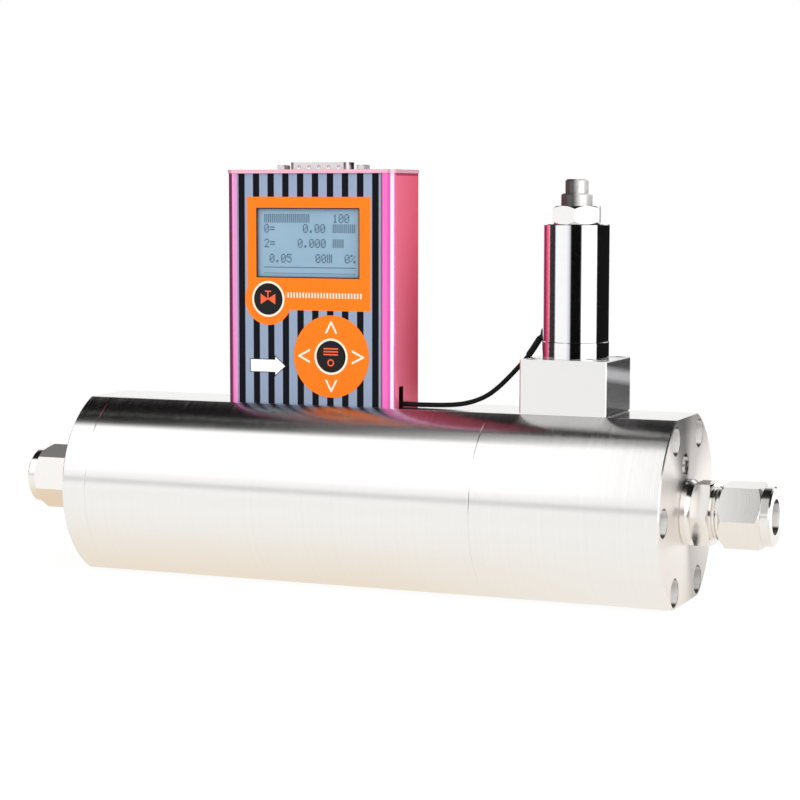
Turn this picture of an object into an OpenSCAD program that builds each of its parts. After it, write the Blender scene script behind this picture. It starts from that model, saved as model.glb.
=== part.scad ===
// Mass flow controller for a high gas flow, in millimetres.
// +X is the flow direction, +Z is up and -Y is the side of the display.
// The origin is the centre of the four base holes, in the plane of the base flat.

/* [Flow body] */
// Diameter of the bar that the three body sections are turned from
body_d = 75; // [74:0.5:80]
// Depth of the base flat below the round of the bar
base_cut = 4.5; // [4:0.1:5]
// Depth of the deck below the round of the bar
deck_cut = 3; // [2.5:0.1:3.3]
// Distance from the centre of the base holes to the inlet face
inlet_reach = 94.4; // [92:0.2:100]
// Thickness of the inlet cap
cap_t = 10; // [9.6:0.2:14]
// Length of the main body
main_l = 158; // [154:1:180]
// Length of the outlet body
outlet_l = 70.4; // [69:0.2:80]
// Chamfer round the two end faces
edge_c = 0.5; // [0.2:0.1:1]
// Chamfer at the joints between the sections
seam_c = 0.2; // [0.1:0.05:0.4]
// Bore of the main body
main_bore_d = 42; // [40:0.5:43]
// Length of the spigot that centres the inlet cap
spigot_l = 4; // [3:0.5:6]

/* [Body screws] */
// Screws in each end, evenly spaced round the flow axis
end_screws = 6; // [6:1:6]
// Distance of the end screws in from the round of the bar
end_screw_in = 6.2; // [6:0.1:6.5]
// Thread diameter of the end screws
end_screw_d = 6; // [5:0.5:6]
// Head diameter of the end screws
end_head_d = 10; // [9.5:0.1:10.2]
// Head height of the end screws
end_head_h = 6; // [4:0.5:6]
// Diameter of the counterbores for the end screws
end_cb_d = 10.7; // [10.5:0.1:10.8]
// Depth of the counterbores in the outlet body
outlet_cb_l = 12; // [7:0.5:14]
// Depth to which the end screws grip the main body
end_grip_l = 14; // [10:1:18]

/* [Base holes] */
// Spacing of the base holes along the flow
base_dx = 100; // [60:5:120]
// Spacing of the base holes across the flow
base_dy = 22; // [16:1:26]
// Diameter of the tapped base holes
base_hole_d = 5; // [4.2:0.1:5]
// Depth of the base holes
base_hole_l = 9; // [6:0.5:9.5]

/* [Tube fittings] */
// Outside diameter of the tube that the fittings take
tube_d = 12.7; // [12:0.1:12.8]
// Clearance round the tube, on the diameter
tube_gap = 0.1; // [0.06:0.02:0.2]
// Width across the flats of the fitting hexagons and nuts
hex_af = 22.2; // [22:0.1:24]
// Diameter of the round shoulder against the body
collar_d = 24; // [23.8:0.1:25]
// Length of the round shoulder
collar_l = 3.9; // [3:0.1:5]
// Length of the fitting hexagon
fit_hex_l = 6.6; // [5:0.1:9]
// Bare thread between the hexagon and the nut
thread_show_l = 3.4; // [2:0.1:5]
// Diameter of the nut thread
nut_thread_d = 19; // [18.6:0.1:19.4]
// Length of the nut
nut_l = 18.5; // [18:0.5:22]
// Length of the round nose of the nut
nut_nose_l = 3.4; // [2.5:0.1:4]
// Diameter of the round nose of the nut
nut_nose_d = 21.6; // [21:0.1:22]
// Diameter of the stud that screws into the body
stud_d = 20.4; // [20:0.1:20.8]
// Length of the stud
stud_l = 8.5; // [7:0.1:9]
// Gas bore of the fittings
gas_d = 10.4; // [9:0.1:11]
// Turn of the outlet nut about its axis
outlet_nut_turn = 34; // [0:1:59]
// Turn of the inlet nut about its axis
inlet_nut_turn = 12; // [0:1:59]

/* [Flow element] */
// Thickness of the inlet diffuser
diffuser_t = 2; // [1.5:0.5:3]
// Diameter of the channels in the flow element
channel_d = 4.2; // [3.6:0.1:4.6]
// Spacing of the channels
channel_pitch = 5.8; // [5.4:0.1:5.9]
// Rings of channels round the middle one
channel_rings = 3; // [2:1:3]
// Half the distance between the two sensor taps
tap_half = 14; // [13:0.5:15]
// Diameter of the sensor taps
tap_d = 2; // [1.5:0.1:2.4]

/* [Sensor] */
// Half length of the sensor block
sensor_half_l = 24.3; // [24:0.1:24.5]
// Width of the sensor block
sensor_w = 14; // [13:0.5:15]
// Height of the sensor block
sensor_h = 8; // [7:0.5:10]
// How far the sensor stands behind the flow axis
sensor_back = 4; // [3.5:0.1:4.2]
// Outside diameter of the capillary tube
capillary_d = 1; // [0.8:0.1:1.2]
// Height of the capillary loop above its block
capillary_h = 17; // [14:0.5:19]
// Length of each sensor winding
sensor_winding_l = 7; // [5:0.5:8]
// Wall of the sensor cover
cover_wall = 1.2; // [1:0.1:1.5]
// Height of the sensor cover
cover_h = 23; // [21:0.5:24]

/* [Valve] */
// Distance from the valve axis to the outlet face
valve_setback = 42.7; // [41:0.1:44]
// Length of the valve block along the flow
block_l = 33.1; // [32:0.1:34]
// Width of the valve block across the flow
block_w = 29.6; // [29.2:0.1:30]
// Height of the valve block
block_h = 20; // [19.5:0.1:22]
// Diameter of the coil housing
housing_d = 24.1; // [23.6:0.1:24.4]
// Wall of the coil housing
housing_wall = 1.3; // [1:0.1:1.5]
// Height of the base ring under the coil housing
ring_h = 6.3; // [5.5:0.1:7]
// How far the base ring stands proud of the housing
ring_lip = 0.15; // [0.05:0.05:0.2]
// Height of the coil housing tube
housing_h = 41; // [38:0.5:44]
// Thickness of the plate on top of the housing
housing_top_t = 1.5; // [1.2:0.1:2.5]
// Width across the flats of the lock nut
lock_af = 17; // [16:0.5:18]
// Height of the lock nut
lock_h = 6.6; // [5:0.1:8]
// Diameter of the collar on the fixed core
core_collar_d = 11.4; // [9.6:0.1:12]
// Height of that collar
core_collar_h = 4.5; // [3:0.1:6]
// How far the stem of the fixed core stands above its collar
stem_h = 5.2; // [3:0.1:7]
// Diameter of the plunger and of the fixed core
core_d = 8.4; // [8:0.1:8.6]
// Running clearance of the plunger on its radius
plunger_gap = 0.05; // [0.03:0.01:0.08]
// Wall of the core tube
core_wall = 1; // [0.8:0.1:1.1]
// Length of the plunger
plunger_l = 24; // [20:0.5:28]
// Lift of the plunger
plunger_lift = 0.6; // [0.4:0.05:0.8]
// Diameter of the seat nozzle
seat_d = 6.6; // [6:0.1:7]
// Orifice of the seat
orifice_d = 2.4; // [1.5:0.1:3]
// Diameter of the gas passages of the valve
passage_d = 4; // [3:0.5:4.5]
// Wire diameter of the plunger spring
spring_wire_d = 0.5; // [0.4:0.05:0.6]
// Turns of the plunger spring
spring_turns = 5; // [4:1:7]
// Height of the valve lead above the base ring
lead_rise = 2.2; // [2:0.1:4]
// Diameter of the valve lead
lead_d = 1.8; // [1.6:0.1:2.2]

/* [Head] */
// Width of the case
case_w = 69.4; // [69:0.2:74]
// Depth of the case
case_t = 26.6; // [26.4:0.1:27.2]
// Height of the case
case_h = 87.4; // [87:0.2:92]
// Radius of the upright corners of the case
case_r = 3; // [2:0.25:3.5]
// Wall of the case
case_wall = 1.6; // [1.4:0.1:1.8]
// Depth of the recess for the overlay
recess_t = 0.8; // [0.7:0.05:1]
// Width of the recess for the overlay
recess_w = 60.2; // [58:0.2:61]
// Thickness of the top plate
top_t = 1.4; // [1:0.1:2]
// Overhang of the top plate
top_lip = 0.3; // [0.1:0.05:0.5]
// Width of the cable notch
notch_w = 4.3; // [3.5:0.1:4.5]
// Height of the cable notch
notch_h = 7.7; // [5:0.1:9]
// Distance of the cable notch in front of the flow axis
notch_y = 6; // [5.8:0.1:6.2]
// Thickness of the overlay
overlay_t = 0.5; // [0.3:0.05:0.6]

/* [Display and keys] */
// Width of the display window
window_w = 42; // [38:0.5:44]
// Height of the display window
window_h = 25.6; // [22:0.2:27]
// Distance of the display window left of the middle of the case
window_x = 0.7; // [0:0.1:1.5]
// Height of the middle of the window above the deck
window_z = 61.2; // [60.5:0.1:62]
// Distance of the valve key left of the middle of the case
valve_key_x = 17; // [16:0.5:18]
// Height of the valve key above the deck
valve_key_z = 39.8; // [39:0.1:40]
// Distance of the key ring right of the middle of the case
key_ring_x = 9.1; // [8.5:0.1:9.5]
// Height of the middle of the key ring above the deck
key_ring_z = 18.6; // [18.4:0.1:19.5]
// Diameter of the key ring
key_ring_d = 31; // [30:0.2:31.5]
// Diameter of the round keys
key_d = 13.8; // [12:0.2:14]
// How far the keys stand out of the overlay
key_rise = 0.25; // [0.15:0.05:0.3]
// Distance of the arrow keys from the middle of the key ring
arrow_r = 11.3; // [10.5:0.1:11.6]
// Diameter of the key stems
key_stem_d = 3.4; // [3:0.1:3.6]
// Travel of the keys
key_travel = 0.25; // [0.2:0.01:0.3]
// Thickness of the circuit boards
board_t = 1.6; // [1.5:0.1:1.7]
// Half width of the display board
board_half_w = 27.4; // [27:0.1:27.6]

/* [Plug] */
// Length of the plug flange
flange_l = 39.1; // [39:0.1:39.3]
// Width of the plug flange
flange_w = 12.5; // [12:0.1:12.8]
// Distance between the two jackposts
jack_pitch = 33.3; // [33.2:0.05:33.4]
// Length of the plug shell
plug_l = 25; // [24.8:0.1:25.2]
// Width of the plug shell
plug_w = 8.4; // [8.3:0.05:8.5]
// Height of the plug shell above its flange
plug_h = 6; // [5.5:0.1:6.2]
// How far the plug shell stands above the top plate
plug_rise = 2.8; // [2:0.1:4]
// Distance between neighbouring pins
pin_pitch = 2.77; // [2.75:0.01:2.79]
// Distance between the two rows of pins
row_pitch = 2.84; // [2.82:0.01:2.86]
// Height of the jackposts above the flange
jack_h = 5; // [4.8:0.1:6]

/* [Hidden] */
$fn = 96;

// Clearances
seat_gap = 0.02;
slip_gap = 0.05;
thread_gap = 0.02;
shank_gap = 0.3;
key_gap = 0.05;
cut = 1;

// Sections of the flow body
axis_h = body_d / 2 - base_cut;
deck_h = body_d / 2 - deck_cut;
end_screw_r = body_d / 2 - end_screw_in;
inlet_x = -inlet_reach;
main_x = inlet_x + cap_t;
outlet_x0 = main_x + main_l;
end_x = outlet_x0 + outlet_l;
deck_z = axis_h + deck_h;
valve_x = end_x - valve_setback;
cap_cb_l = end_head_h + 0.4;
face_ring_t = 2;
face_ring_r = main_bore_d / 2 + 1 + face_ring_t / 2;
bore_tip_l = 1.2;

// Tube fittings, measured outwards from the face of the body
tube_bore_d = tube_d + tube_gap;
fit_hex_z = collar_l;
neck_z = fit_hex_z + fit_hex_l;
nut_z = neck_z + thread_show_l;
nut_end_z = nut_z + nut_l;
nut_rear_c = 1.4;
nut_land_l = 3.4;
nut_cone_l = (nut_thread_d - tube_bore_d) / 2;
nut_cone_z = nut_end_z - nut_land_l - nut_cone_l;
ferrule_rim = 0.7;
back_ferrule_l = 2.6;
back_ferrule_d = nut_thread_d - 2 * ferrule_rim;
back_ferrule_z = nut_cone_z + ferrule_rim - seat_gap - back_ferrule_l;
nose_l = 0.7;
nose_t = 0.3;
mouth_z = back_ferrule_z - 1;
mouth_d = tube_bore_d + 3.2;
mouth_l = 3.6;
front_nose_z = mouth_z - mouth_l + slip_gap;
socket_z = mouth_z - 9;
port_ring_t = 1.3;
port_cb_d = stud_d + 2 * port_ring_t + 0.1;
port_cb_l = port_ring_t + seat_gap;
hex_c = 0.6;

// Gas passages of the outlet body
chamber_d = main_bore_d - 3;
chamber_l = 10;
feed_x = valve_x - 11;
feed_rise = 9;
body_passage_d = passage_d + 2;
port_l = stud_l + 3.5;
plug_y = -3;
plug_rise_z = 17.2;
plug_hole_d = 8.9;
plug_hole_l = 8;

// Valve
block_z = deck_z + block_h;
ring_z = block_z;
tube_z = ring_z + ring_h;
housing_end_z = tube_z + housing_h;
top_end_z = housing_end_z + housing_top_t;
lock_end_z = top_end_z + lock_h;
core_collar_z = lock_end_z;
stem_end_z = core_collar_z + core_collar_h + stem_h;
core_bore_d = core_d + 2 * plunger_gap;
core_tube_d = core_bore_d + 2 * core_wall;
core_flange_d = core_tube_d + 6;
core_flange_t = 4;
core_flange_z = block_z - core_flange_t;
seat_top_z = deck_z + 9;
seat_flange_t = 2;
chamber_z = deck_z + 6;
valve_chamber_d = 13;
pad_t = 1.6;
pad_d = 4.6;
plunger_z = seat_top_z + seat_gap;
core_z = plunger_z + plunger_l + plunger_lift;
spring_d = 5;
spring_pocket_l = 5;
spring_gap = 0.3;
bobbin_wall = 1;
bobbin_flange_t = 1.2;
winding_gap = 0.6;
block_screw_dx = 12.8;
block_screw_l = 25;
block_c = 0.5;
ring_c = 0.3;
lock_turn = -16;
lead_sleeve_d = lead_d + 0.6;
bush_d = lead_d + 1.4;
bush_rim_t = 0.8;
bush_sag = 0.05;

// Small screws of the block, the sensor and the case
m3_d = 3;
m3_head_d = 5.5;
m3_head_h = 3;
m3_cb_d = 6;
block_screw_clear = 0.75;
block_screw_dy = end_screw_r / 2 - (end_screw_d + m3_d) / 2 - block_screw_clear;
m3_cb_l = 3.4;
case_screw_l = 10;
foot_l = 8;
foot_h = sensor_h;
foot_front = -notch_y + notch_w / 2 + 0.4;
foot_screw_y = -0.2;
foot_screw_z = foot_h / 2;
sensor_screw_x = sensor_half_l - 3.3;
small_ring_t = 1.2;
small_ring_d = 6;

// Head
case_front = -case_t / 2;
case_back = case_t / 2;
case_end_z = deck_z + case_h;
top_end = case_end_z + top_t;
recess_y = case_front + recess_t;
wall_y = recess_y + case_wall;
inner_half_w = case_w / 2 - case_wall;
inner_back = case_back - case_wall;
guide_l = 2.4;
guide_t = 1.2;
inner_clear_h = 10;
lug_w = 5.1;
lug_t = 4.1;
top_screw_d = 2.5;
top_screw_l = 8;
top_head_d = 4.6;
top_head_h = (top_head_d - top_screw_d) / 2;
top_sink = 0.08;
top_sink_h = top_head_h + top_sink + slip_gap;
top_screw_x = inner_half_w - lug_w / 2;
top_screw_y = [wall_y + lug_t / 2, inner_back - lug_t / 2];
lcd_body_t = 4.4;
lcd_sink = 0.6;
display_y = wall_y + slip_gap + lcd_body_t;
display_foot = 3;
display_clear = 5.4;
display_z = deck_z + display_foot;
display_h = case_h - display_foot - display_clear;
switch_w = 6;
switch_h = 3.5;
stem_sink = 1;
stem_front = recess_y + slip_gap;
standoff_l = 4;
main_board_y = display_y + board_t + standoff_l;
flange_t = 0.8;
clinch_l = 3;
jack_shank_d = 2.8;
jack_af = 4.75;
jack_thread_d = 2.4;
jack_thread_l = 4;
pin_d = 1;
pin_rise = 5;
dimple_pitch = 4.1;
flange_z = top_end + plug_rise - plug_h;
insulator_l = 4.8;
tail_l = 3.2;
tail_d = row_pitch - board_t - 2 * seat_gap;
tail_r = tail_d / 2;
board_end_z = flange_z - flange_t - insulator_l - 0.2;
main_board_z = deck_z + sensor_h + cover_h + 2;
plug_y0 = main_board_y + board_t / 2;
standoff_x = 24;
standoff_z = [main_board_z + 5, board_end_z - 5];
key_places = [[-valve_key_x, valve_key_z], [key_ring_x, key_ring_z],
              [key_ring_x, key_ring_z + arrow_r], [key_ring_x, key_ring_z - arrow_r],
              [key_ring_x - arrow_r, key_ring_z], [key_ring_x + arrow_r, key_ring_z]];

// Route of the valve lead: along the flow, across it, and above the deck
lead_route = [[26, -6, 1.05], [31, -6, 1.05], [36, -6, 1.05], [41, -5.9, 1.05], [46, -5.6, 1.1],
              [51, -5.2, 1.2], [56, -4.6, 1.5], [60, -4, 2.1], [64, -3.4, 3.3], [68, -2.8, 5.2],
              [72, -2.2, 8.2], [76, -1.6, 12.1], [79.5, -1, 15.9], [82.9, -0.5, 19.8]];
lead_sides = 8;
lead_end_z = block_h + ring_h + lead_rise;
lead_end_x = valve_x - housing_d / 2;

// ---------------------------------------------------------------- shared shapes

// Puts local +Z along the flow axis at x
module along_flow(x) {
    translate([x, 0, axis_h])
        rotate([0, 90, 0])
            children();
}

// The same, pointing out of the inlet face
module out_of_inlet() {
    translate([inlet_x, 0, axis_h])
        rotate([0, -90, 0])
            children();
}

// One section of the body: a chamfered bar with the deck and the base flat
module body_section(x, l, c0, c1) {
    r = body_d / 2;
    along_flow(x)
        intersection() {
            rotate_extrude($fn = 180)
                polygon([[0, 0], [r - c0, 0], [r, c0], [r, l - c1], [r - c1, l], [0, l]]);
            translate([-deck_h, -body_d, -cut])
                cube([deck_h + axis_h, 2 * body_d, l + 2 * cut]);
        }
}

// Places its children at each end screw
module at_end_screws() {
    for (i = [0 : end_screws - 1])
        rotate(90 + i * 360 / end_screws)
            translate([end_screw_r, 0, 0])
                children();
}

// Socket cap screw with its shank along -Z and its head on z = 0
module cap_screw(d, l, head_d, head_h) {
    difference() {
        union() {
            translate([0, 0, -l])
                cylinder(d = d, h = l + seat_gap, $fn = 32);
            cylinder(d = head_d, h = head_h, $fn = 48);
        }
        translate([0, 0, head_h / 2])
            cylinder(d = d * 0.95, h = head_h, $fn = 6);
    }
}

// Closed ring of round section, lying on z = 0
module o_ring(mid_r, t) {
    translate([0, 0, t / 2])
        rotate_extrude()
            translate([mid_r, 0])
                circle(d = t, $fn = 24);
}

// Flat ring-shaped groove cut downwards from z = 0
module ring_groove(mid_r, w, depth) {
    translate([0, 0, -depth])
        difference() {
            cylinder(r = mid_r + w / 2, h = depth + cut);
            translate([0, 0, -cut])
                cylinder(r = mid_r - w / 2, h = depth + 3 * cut);
        }
}

// Hexagon bar with the corners of both ends turned off
module turned_hex(af, h, c) {
    corner_r = af / sqrt(3);
    flat_r = af / 2;
    intersection() {
        cylinder(r = corner_r, h = h, $fn = 6);
        rotate_extrude()
            polygon([[0, 0], [flat_r, 0], [corner_r + seat_gap, c + seat_gap],
                     [corner_r + seat_gap, h - c - seat_gap], [flat_r, h], [0, h]]);
    }
}

// Rounded rectangle with true arcs at its corners
module rounded_plate(w, d, r) {
    square([w - 2 * r, d], center = true);
    square([w, d - 2 * r], center = true);
    for (sx = [-1, 1], sy = [-1, 1])
        translate([sx * (w / 2 - r), sy * (d / 2 - r)])
            circle(r = r, $fn = 48);
}

// Rectangle with its corners cut off at 45 degrees
module cut_corners(w, d, c) {
    polygon([[-w / 2 + c, -d / 2], [w / 2 - c, -d / 2], [w / 2, -d / 2 + c], [w / 2, d / 2 - c],
             [w / 2 - c, d / 2], [-w / 2 + c, d / 2], [-w / 2, d / 2 - c], [-w / 2, -d / 2 + c]]);
}

// Holes on a triangular grid, rings deep
module channel_grid(pitch, d, h, rings) {
    for (i = [-rings : rings], j = [-rings : rings])
        if (abs(i + j) <= rings)
            translate([pitch * (i + j / 2), pitch * j * sqrt(3) / 2, -cut])
                cylinder(d = d, h = h + 2 * cut, $fn = 24);
}

// ---------------------------------------------------------------- flow body

module inlet_cap() {
    color([0.80, 0.80, 0.79])
        difference() {
            union() {
                body_section(inlet_x, cap_t, edge_c, seam_c);
                along_flow(main_x - seam_c)
                    cylinder(d = main_bore_d - 2 * slip_gap, h = spigot_l + seam_c);
            }
            along_flow(inlet_x - cut)
                cylinder(d = stud_d + 2 * thread_gap, h = cap_t + spigot_l + 2 * cut);
            along_flow(main_x)
                cylinder(r1 = stud_d / 2, r2 = main_bore_d / 2 - 3, h = spigot_l + seat_gap);
            out_of_inlet() {
                translate([0, 0, -port_cb_l])
                    cylinder(d = port_cb_d, h = port_cb_l + cut);
                at_end_screws() {
                    translate([0, 0, -cap_cb_l])
                        cylinder(d = end_cb_d, h = cap_cb_l + cut, $fn = 48);
                    translate([0, 0, -cap_t - cut])
                        cylinder(d = end_screw_d + 2 * shank_gap, h = cap_t + cut, $fn = 32);
                }
            }
            along_flow(main_x)
                ring_groove(face_ring_r, face_ring_t + 0.4, face_ring_t - seat_gap);
        }
}

module inlet_cap_screws() {
    color([0.55, 0.55, 0.56])
        out_of_inlet()
            at_end_screws()
                translate([0, 0, -cap_cb_l])
                    cap_screw(end_screw_d, cap_t - cap_cb_l + end_grip_l, end_head_d, end_head_h);
}

module main_body() {
    color([0.82, 0.82, 0.81])
        difference() {
            body_section(main_x, main_l, seam_c, seam_c);
            along_flow(main_x - cut)
                cylinder(d = main_bore_d, h = main_l + 2 * cut);
            for (x = [main_x - cut, outlet_x0 - end_grip_l - bore_tip_l])
                along_flow(x)
                    at_end_screws()
                        cylinder(d = end_screw_d + 2 * thread_gap, h = end_grip_l + bore_tip_l + cut, $fn = 32);
            for (sx = [-1, 1]) {
                translate([sx * tap_half, sensor_back, axis_h])
                    cylinder(d = tap_d, h = deck_h + cut, $fn = 24);
                translate([sx * sensor_screw_x, sensor_back, deck_z])
                    m3_thread(case_screw_l - (sensor_h - m3_cb_l));
                translate([sx * foot_x(), foot_screw_y, deck_z])
                    m3_thread(case_screw_l - (foot_h - m3_cb_l));
                for (sy = [-1, 1])
                    translate([sx * base_dx / 2, sy * base_dy / 2, -cut])
                        cylinder(d = base_hole_d, h = base_hole_l + cut, $fn = 32);
            }
        }
}

// Tapped hole for a small screw, cut downwards from z = 0
module m3_thread(l) {
    translate([0, 0, -l - seat_gap])
        cylinder(d = m3_d + 2 * thread_gap, h = l + seat_gap + cut, $fn = 32);
}

// Distance of the case feet from the middle of the case
function foot_x() = inner_half_w - slip_gap - foot_l / 2;

module outlet_body() {
    color([0.82, 0.82, 0.81])
        difference() {
            body_section(outlet_x0, outlet_l, seam_c, edge_c);
            along_flow(outlet_x0 - cut)
                cylinder(d = chamber_d, h = chamber_l + cut);
            // feed: out of the chamber, then up to the deck
            translate([outlet_x0 + cut, 0, axis_h + feed_rise])
                rotate([0, 90, 0])
                    cylinder(d = body_passage_d, h = feed_x - outlet_x0 - cut + body_passage_d / 2, $fn = 32);
            translate([feed_x, 0, axis_h + feed_rise])
                cylinder(d = passage_d, h = deck_h, $fn = 32);
            // return: down from the seat to the outlet bore
            translate([valve_x, 0, axis_h])
                cylinder(d = passage_d, h = deck_h + cut, $fn = 32);
            along_flow(valve_x - passage_d)
                cylinder(d = gas_d, h = end_x - valve_x + passage_d + cut);
            along_flow(end_x - port_l)
                cylinder(d = stud_d + 2 * thread_gap, h = port_l + cut);
            along_flow(end_x - port_cb_l)
                cylinder(d = port_cb_d, h = port_cb_l + cut);
            along_flow(outlet_x0 - cut)
                at_end_screws()
                    cylinder(d = end_screw_d + 2 * shank_gap, h = outlet_l + 2 * cut, $fn = 32);
            along_flow(end_x - outlet_cb_l)
                at_end_screws()
                    cylinder(d = end_cb_d, h = outlet_cb_l + cut, $fn = 48);
            along_flow(outlet_x0)
                mirror([0, 0, 1])
                    ring_groove(face_ring_r, face_ring_t + 0.4, face_ring_t - seat_gap);
            translate([end_x - plug_hole_l, plug_y, axis_h + plug_rise_z])
                rotate([0, 90, 0])
                    cylinder(d = plug_hole_d, h = plug_hole_l + cut, $fn = 48);
            for (sx = [-1, 1], sy = [-1, 1])
                translate([valve_x + sx * block_screw_dx, sy * block_screw_dy, deck_z])
                    m3_thread(block_screw_l - (block_h - m3_cb_l));
        }
}

module outlet_body_screws() {
    color([0.55, 0.55, 0.56])
        along_flow(end_x - outlet_cb_l)
            at_end_screws()
                cap_screw(end_screw_d, outlet_l - outlet_cb_l + end_grip_l, end_head_d, end_head_h);
}

module body_orings() {
    color([0.10, 0.10, 0.11]) {
        along_flow(main_x)
            mirror([0, 0, 1])
                o_ring(face_ring_r, face_ring_t - 2 * seat_gap);
        along_flow(outlet_x0)
            o_ring(face_ring_r, face_ring_t - 2 * seat_gap);
    }
}

module inlet_diffuser() {
    color([0.62, 0.60, 0.56])
        along_flow(main_x + spigot_l)
            difference() {
                cylinder(d = main_bore_d - 2 * slip_gap, h = diffuser_t);
                channel_grid(channel_pitch * 0.9, channel_d * 0.7, diffuser_t, channel_rings);
            }
}

module flow_element() {
    l = main_l - spigot_l - diffuser_t;
    color([0.70, 0.70, 0.69])
        difference() {
            along_flow(outlet_x0 - l)
                difference() {
                    cylinder(d = main_bore_d - 2 * slip_gap, h = l);
                    channel_grid(channel_pitch, channel_d, l, channel_rings);
                }
            for (sx = [-1, 1])
                along_flow(sx * tap_half - tap_d / 2)
                    difference() {
                        cylinder(d = main_bore_d + cut, h = tap_d);
                        translate([0, 0, -cut])
                            cylinder(d = main_bore_d - 2 * tap_d - 0.6, h = tap_d + 2 * cut);
                    }
        }
}

module passage_plug() {
    color([0.50, 0.50, 0.51])
        translate([end_x - plug_hole_l, plug_y, axis_h + plug_rise_z])
            rotate([0, 90, 0])
                difference() {
                    cylinder(d = plug_hole_d - 2 * thread_gap, h = plug_hole_l * 0.75, $fn = 48);
                    translate([0, 0, plug_hole_l * 0.35])
                        cylinder(d = plug_hole_d * 0.5, h = plug_hole_l, $fn = 6);
                }
}

// ---------------------------------------------------------------- tube fittings

// Profile of the fitting body: radius against distance from the face
module fitting_body() {
    difference() {
        union() {
            translate([0, 0, -stud_l])
                cylinder(d = stud_d, h = stud_l + seat_gap);
            rotate_extrude()
                polygon([[0, 0], [collar_d / 2 - 0.4, 0], [collar_d / 2, 0.4],
                         [collar_d / 2, collar_l * 0.55], [collar_d / 2 - 1.2, collar_l], [0, collar_l]]);
            translate([0, 0, fit_hex_z])
                rotate(30)
                    turned_hex(hex_af, fit_hex_l, hex_c);
            cylinder(d = nut_thread_d - 2 * thread_gap, h = mouth_z);
        }
        translate([0, 0, -stud_l - cut])
            cylinder(d = gas_d, h = mouth_z + stud_l + 2 * cut);
        translate([0, 0, socket_z])
            cylinder(d = tube_bore_d, h = mouth_z - socket_z + cut);
        translate([0, 0, mouth_z - mouth_l])
            cylinder(d1 = tube_bore_d + 2 * nose_t, d2 = mouth_d, h = mouth_l + seat_gap / 10);
    }
}

module tube_nut(turn) {
    hex_l = nut_l - nut_nose_l;
    difference() {
        translate([0, 0, nut_z])
            union() {
                rotate(turn)
                    turned_hex(hex_af, hex_l, nut_rear_c);
                cylinder(d = nut_nose_d, h = nut_l - 0.6);
                translate([0, 0, nut_l - 0.6])
                    cylinder(d1 = nut_nose_d, d2 = nut_nose_d - 1.2, h = 0.6);
            }
        translate([0, 0, nut_z - cut])
            cylinder(d = nut_thread_d, h = nut_cone_z - nut_z + cut);
        translate([0, 0, nut_cone_z])
            cylinder(d1 = nut_thread_d, d2 = tube_bore_d, h = nut_cone_l);
        cylinder(d = tube_bore_d, h = nut_end_z + cut);
    }
}

module front_ferrule() {
    slope = ((mouth_d - tube_bore_d) / 2 - nose_t) / mouth_l;
    nose_r = tube_bore_d / 2 + nose_t + slope * slip_gap - seat_gap;
    rim_r = mouth_d / 2 - seat_gap;
    rotate_extrude()
        polygon([[tube_bore_d / 2, front_nose_z], [nose_r, front_nose_z], [rim_r, mouth_z],
                 [rim_r + 0.5, mouth_z + 0.1], [rim_r + 0.5, back_ferrule_z - seat_gap],
                 [tube_bore_d / 2 + nose_l, back_ferrule_z - seat_gap],
                 [tube_bore_d / 2, back_ferrule_z - nose_l - seat_gap]]);
}

module back_ferrule() {
    r = back_ferrule_d / 2;
    end_z = back_ferrule_z + back_ferrule_l;
    rotate_extrude()
        polygon([[tube_bore_d / 2, back_ferrule_z - nose_l], [tube_bore_d / 2 + nose_l, back_ferrule_z],
                 [r - 0.3, back_ferrule_z], [r, back_ferrule_z + 0.3], [r, end_z],
                 [tube_bore_d / 2, end_z + r - tube_bore_d / 2]]);
}

module inlet_fitting() {
    color([0.78, 0.77, 0.74])
        out_of_inlet()
            fitting_body();
}

module outlet_fitting() {
    color([0.78, 0.77, 0.74])
        along_flow(end_x)
            fitting_body();
}

module inlet_nut() {
    color([0.80, 0.79, 0.76])
        out_of_inlet()
            tube_nut(inlet_nut_turn);
}

module outlet_nut() {
    color([0.80, 0.79, 0.76])
        along_flow(end_x)
            tube_nut(outlet_nut_turn);
}

module front_ferrules() {
    color([0.74, 0.73, 0.70]) {
        out_of_inlet()
            front_ferrule();
        along_flow(end_x)
            front_ferrule();
    }
}

module back_ferrules() {
    color([0.74, 0.73, 0.70]) {
        out_of_inlet()
            back_ferrule();
        along_flow(end_x)
            back_ferrule();
    }
}

module fitting_orings() {
    mid_r = (stud_d + port_cb_d) / 4;
    color([0.10, 0.10, 0.11]) {
        out_of_inlet()
            translate([0, 0, -port_ring_t])
                o_ring(mid_r, port_ring_t - seat_gap);
        along_flow(end_x - port_ring_t)
            o_ring(mid_r, port_ring_t - seat_gap);
    }
}

// ---------------------------------------------------------------- thermal sensor

module sensor_block() {
    color([0.75, 0.75, 0.74])
        difference() {
            translate([-sensor_half_l, sensor_back - sensor_w / 2, deck_z])
                cube([2 * sensor_half_l, sensor_w, sensor_h]);
            for (sx = [-1, 1]) {
                translate([sx * tap_half, sensor_back, deck_z - cut])
                    cylinder(d = capillary_d + 2 * seat_gap, h = sensor_h + 2 * cut, $fn = 24);
                translate([sx * tap_half, sensor_back, deck_z])
                    mirror([0, 0, 1])
                        ring_groove(small_ring_d / 2, small_ring_t + 0.3, small_ring_t);
                translate([sx * sensor_screw_x, sensor_back, deck_z])
                    m3_clearance(sensor_h);
            }
        }
}

// Clearance hole and counterbore for a small screw in a part of height h
module m3_clearance(h) {
    translate([0, 0, -cut])
        cylinder(d = m3_d + shank_gap, h = h + 2 * cut, $fn = 32);
    translate([0, 0, h - m3_cb_l])
        cylinder(d = m3_cb_d, h = m3_cb_l + cut, $fn = 48);
}

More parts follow.
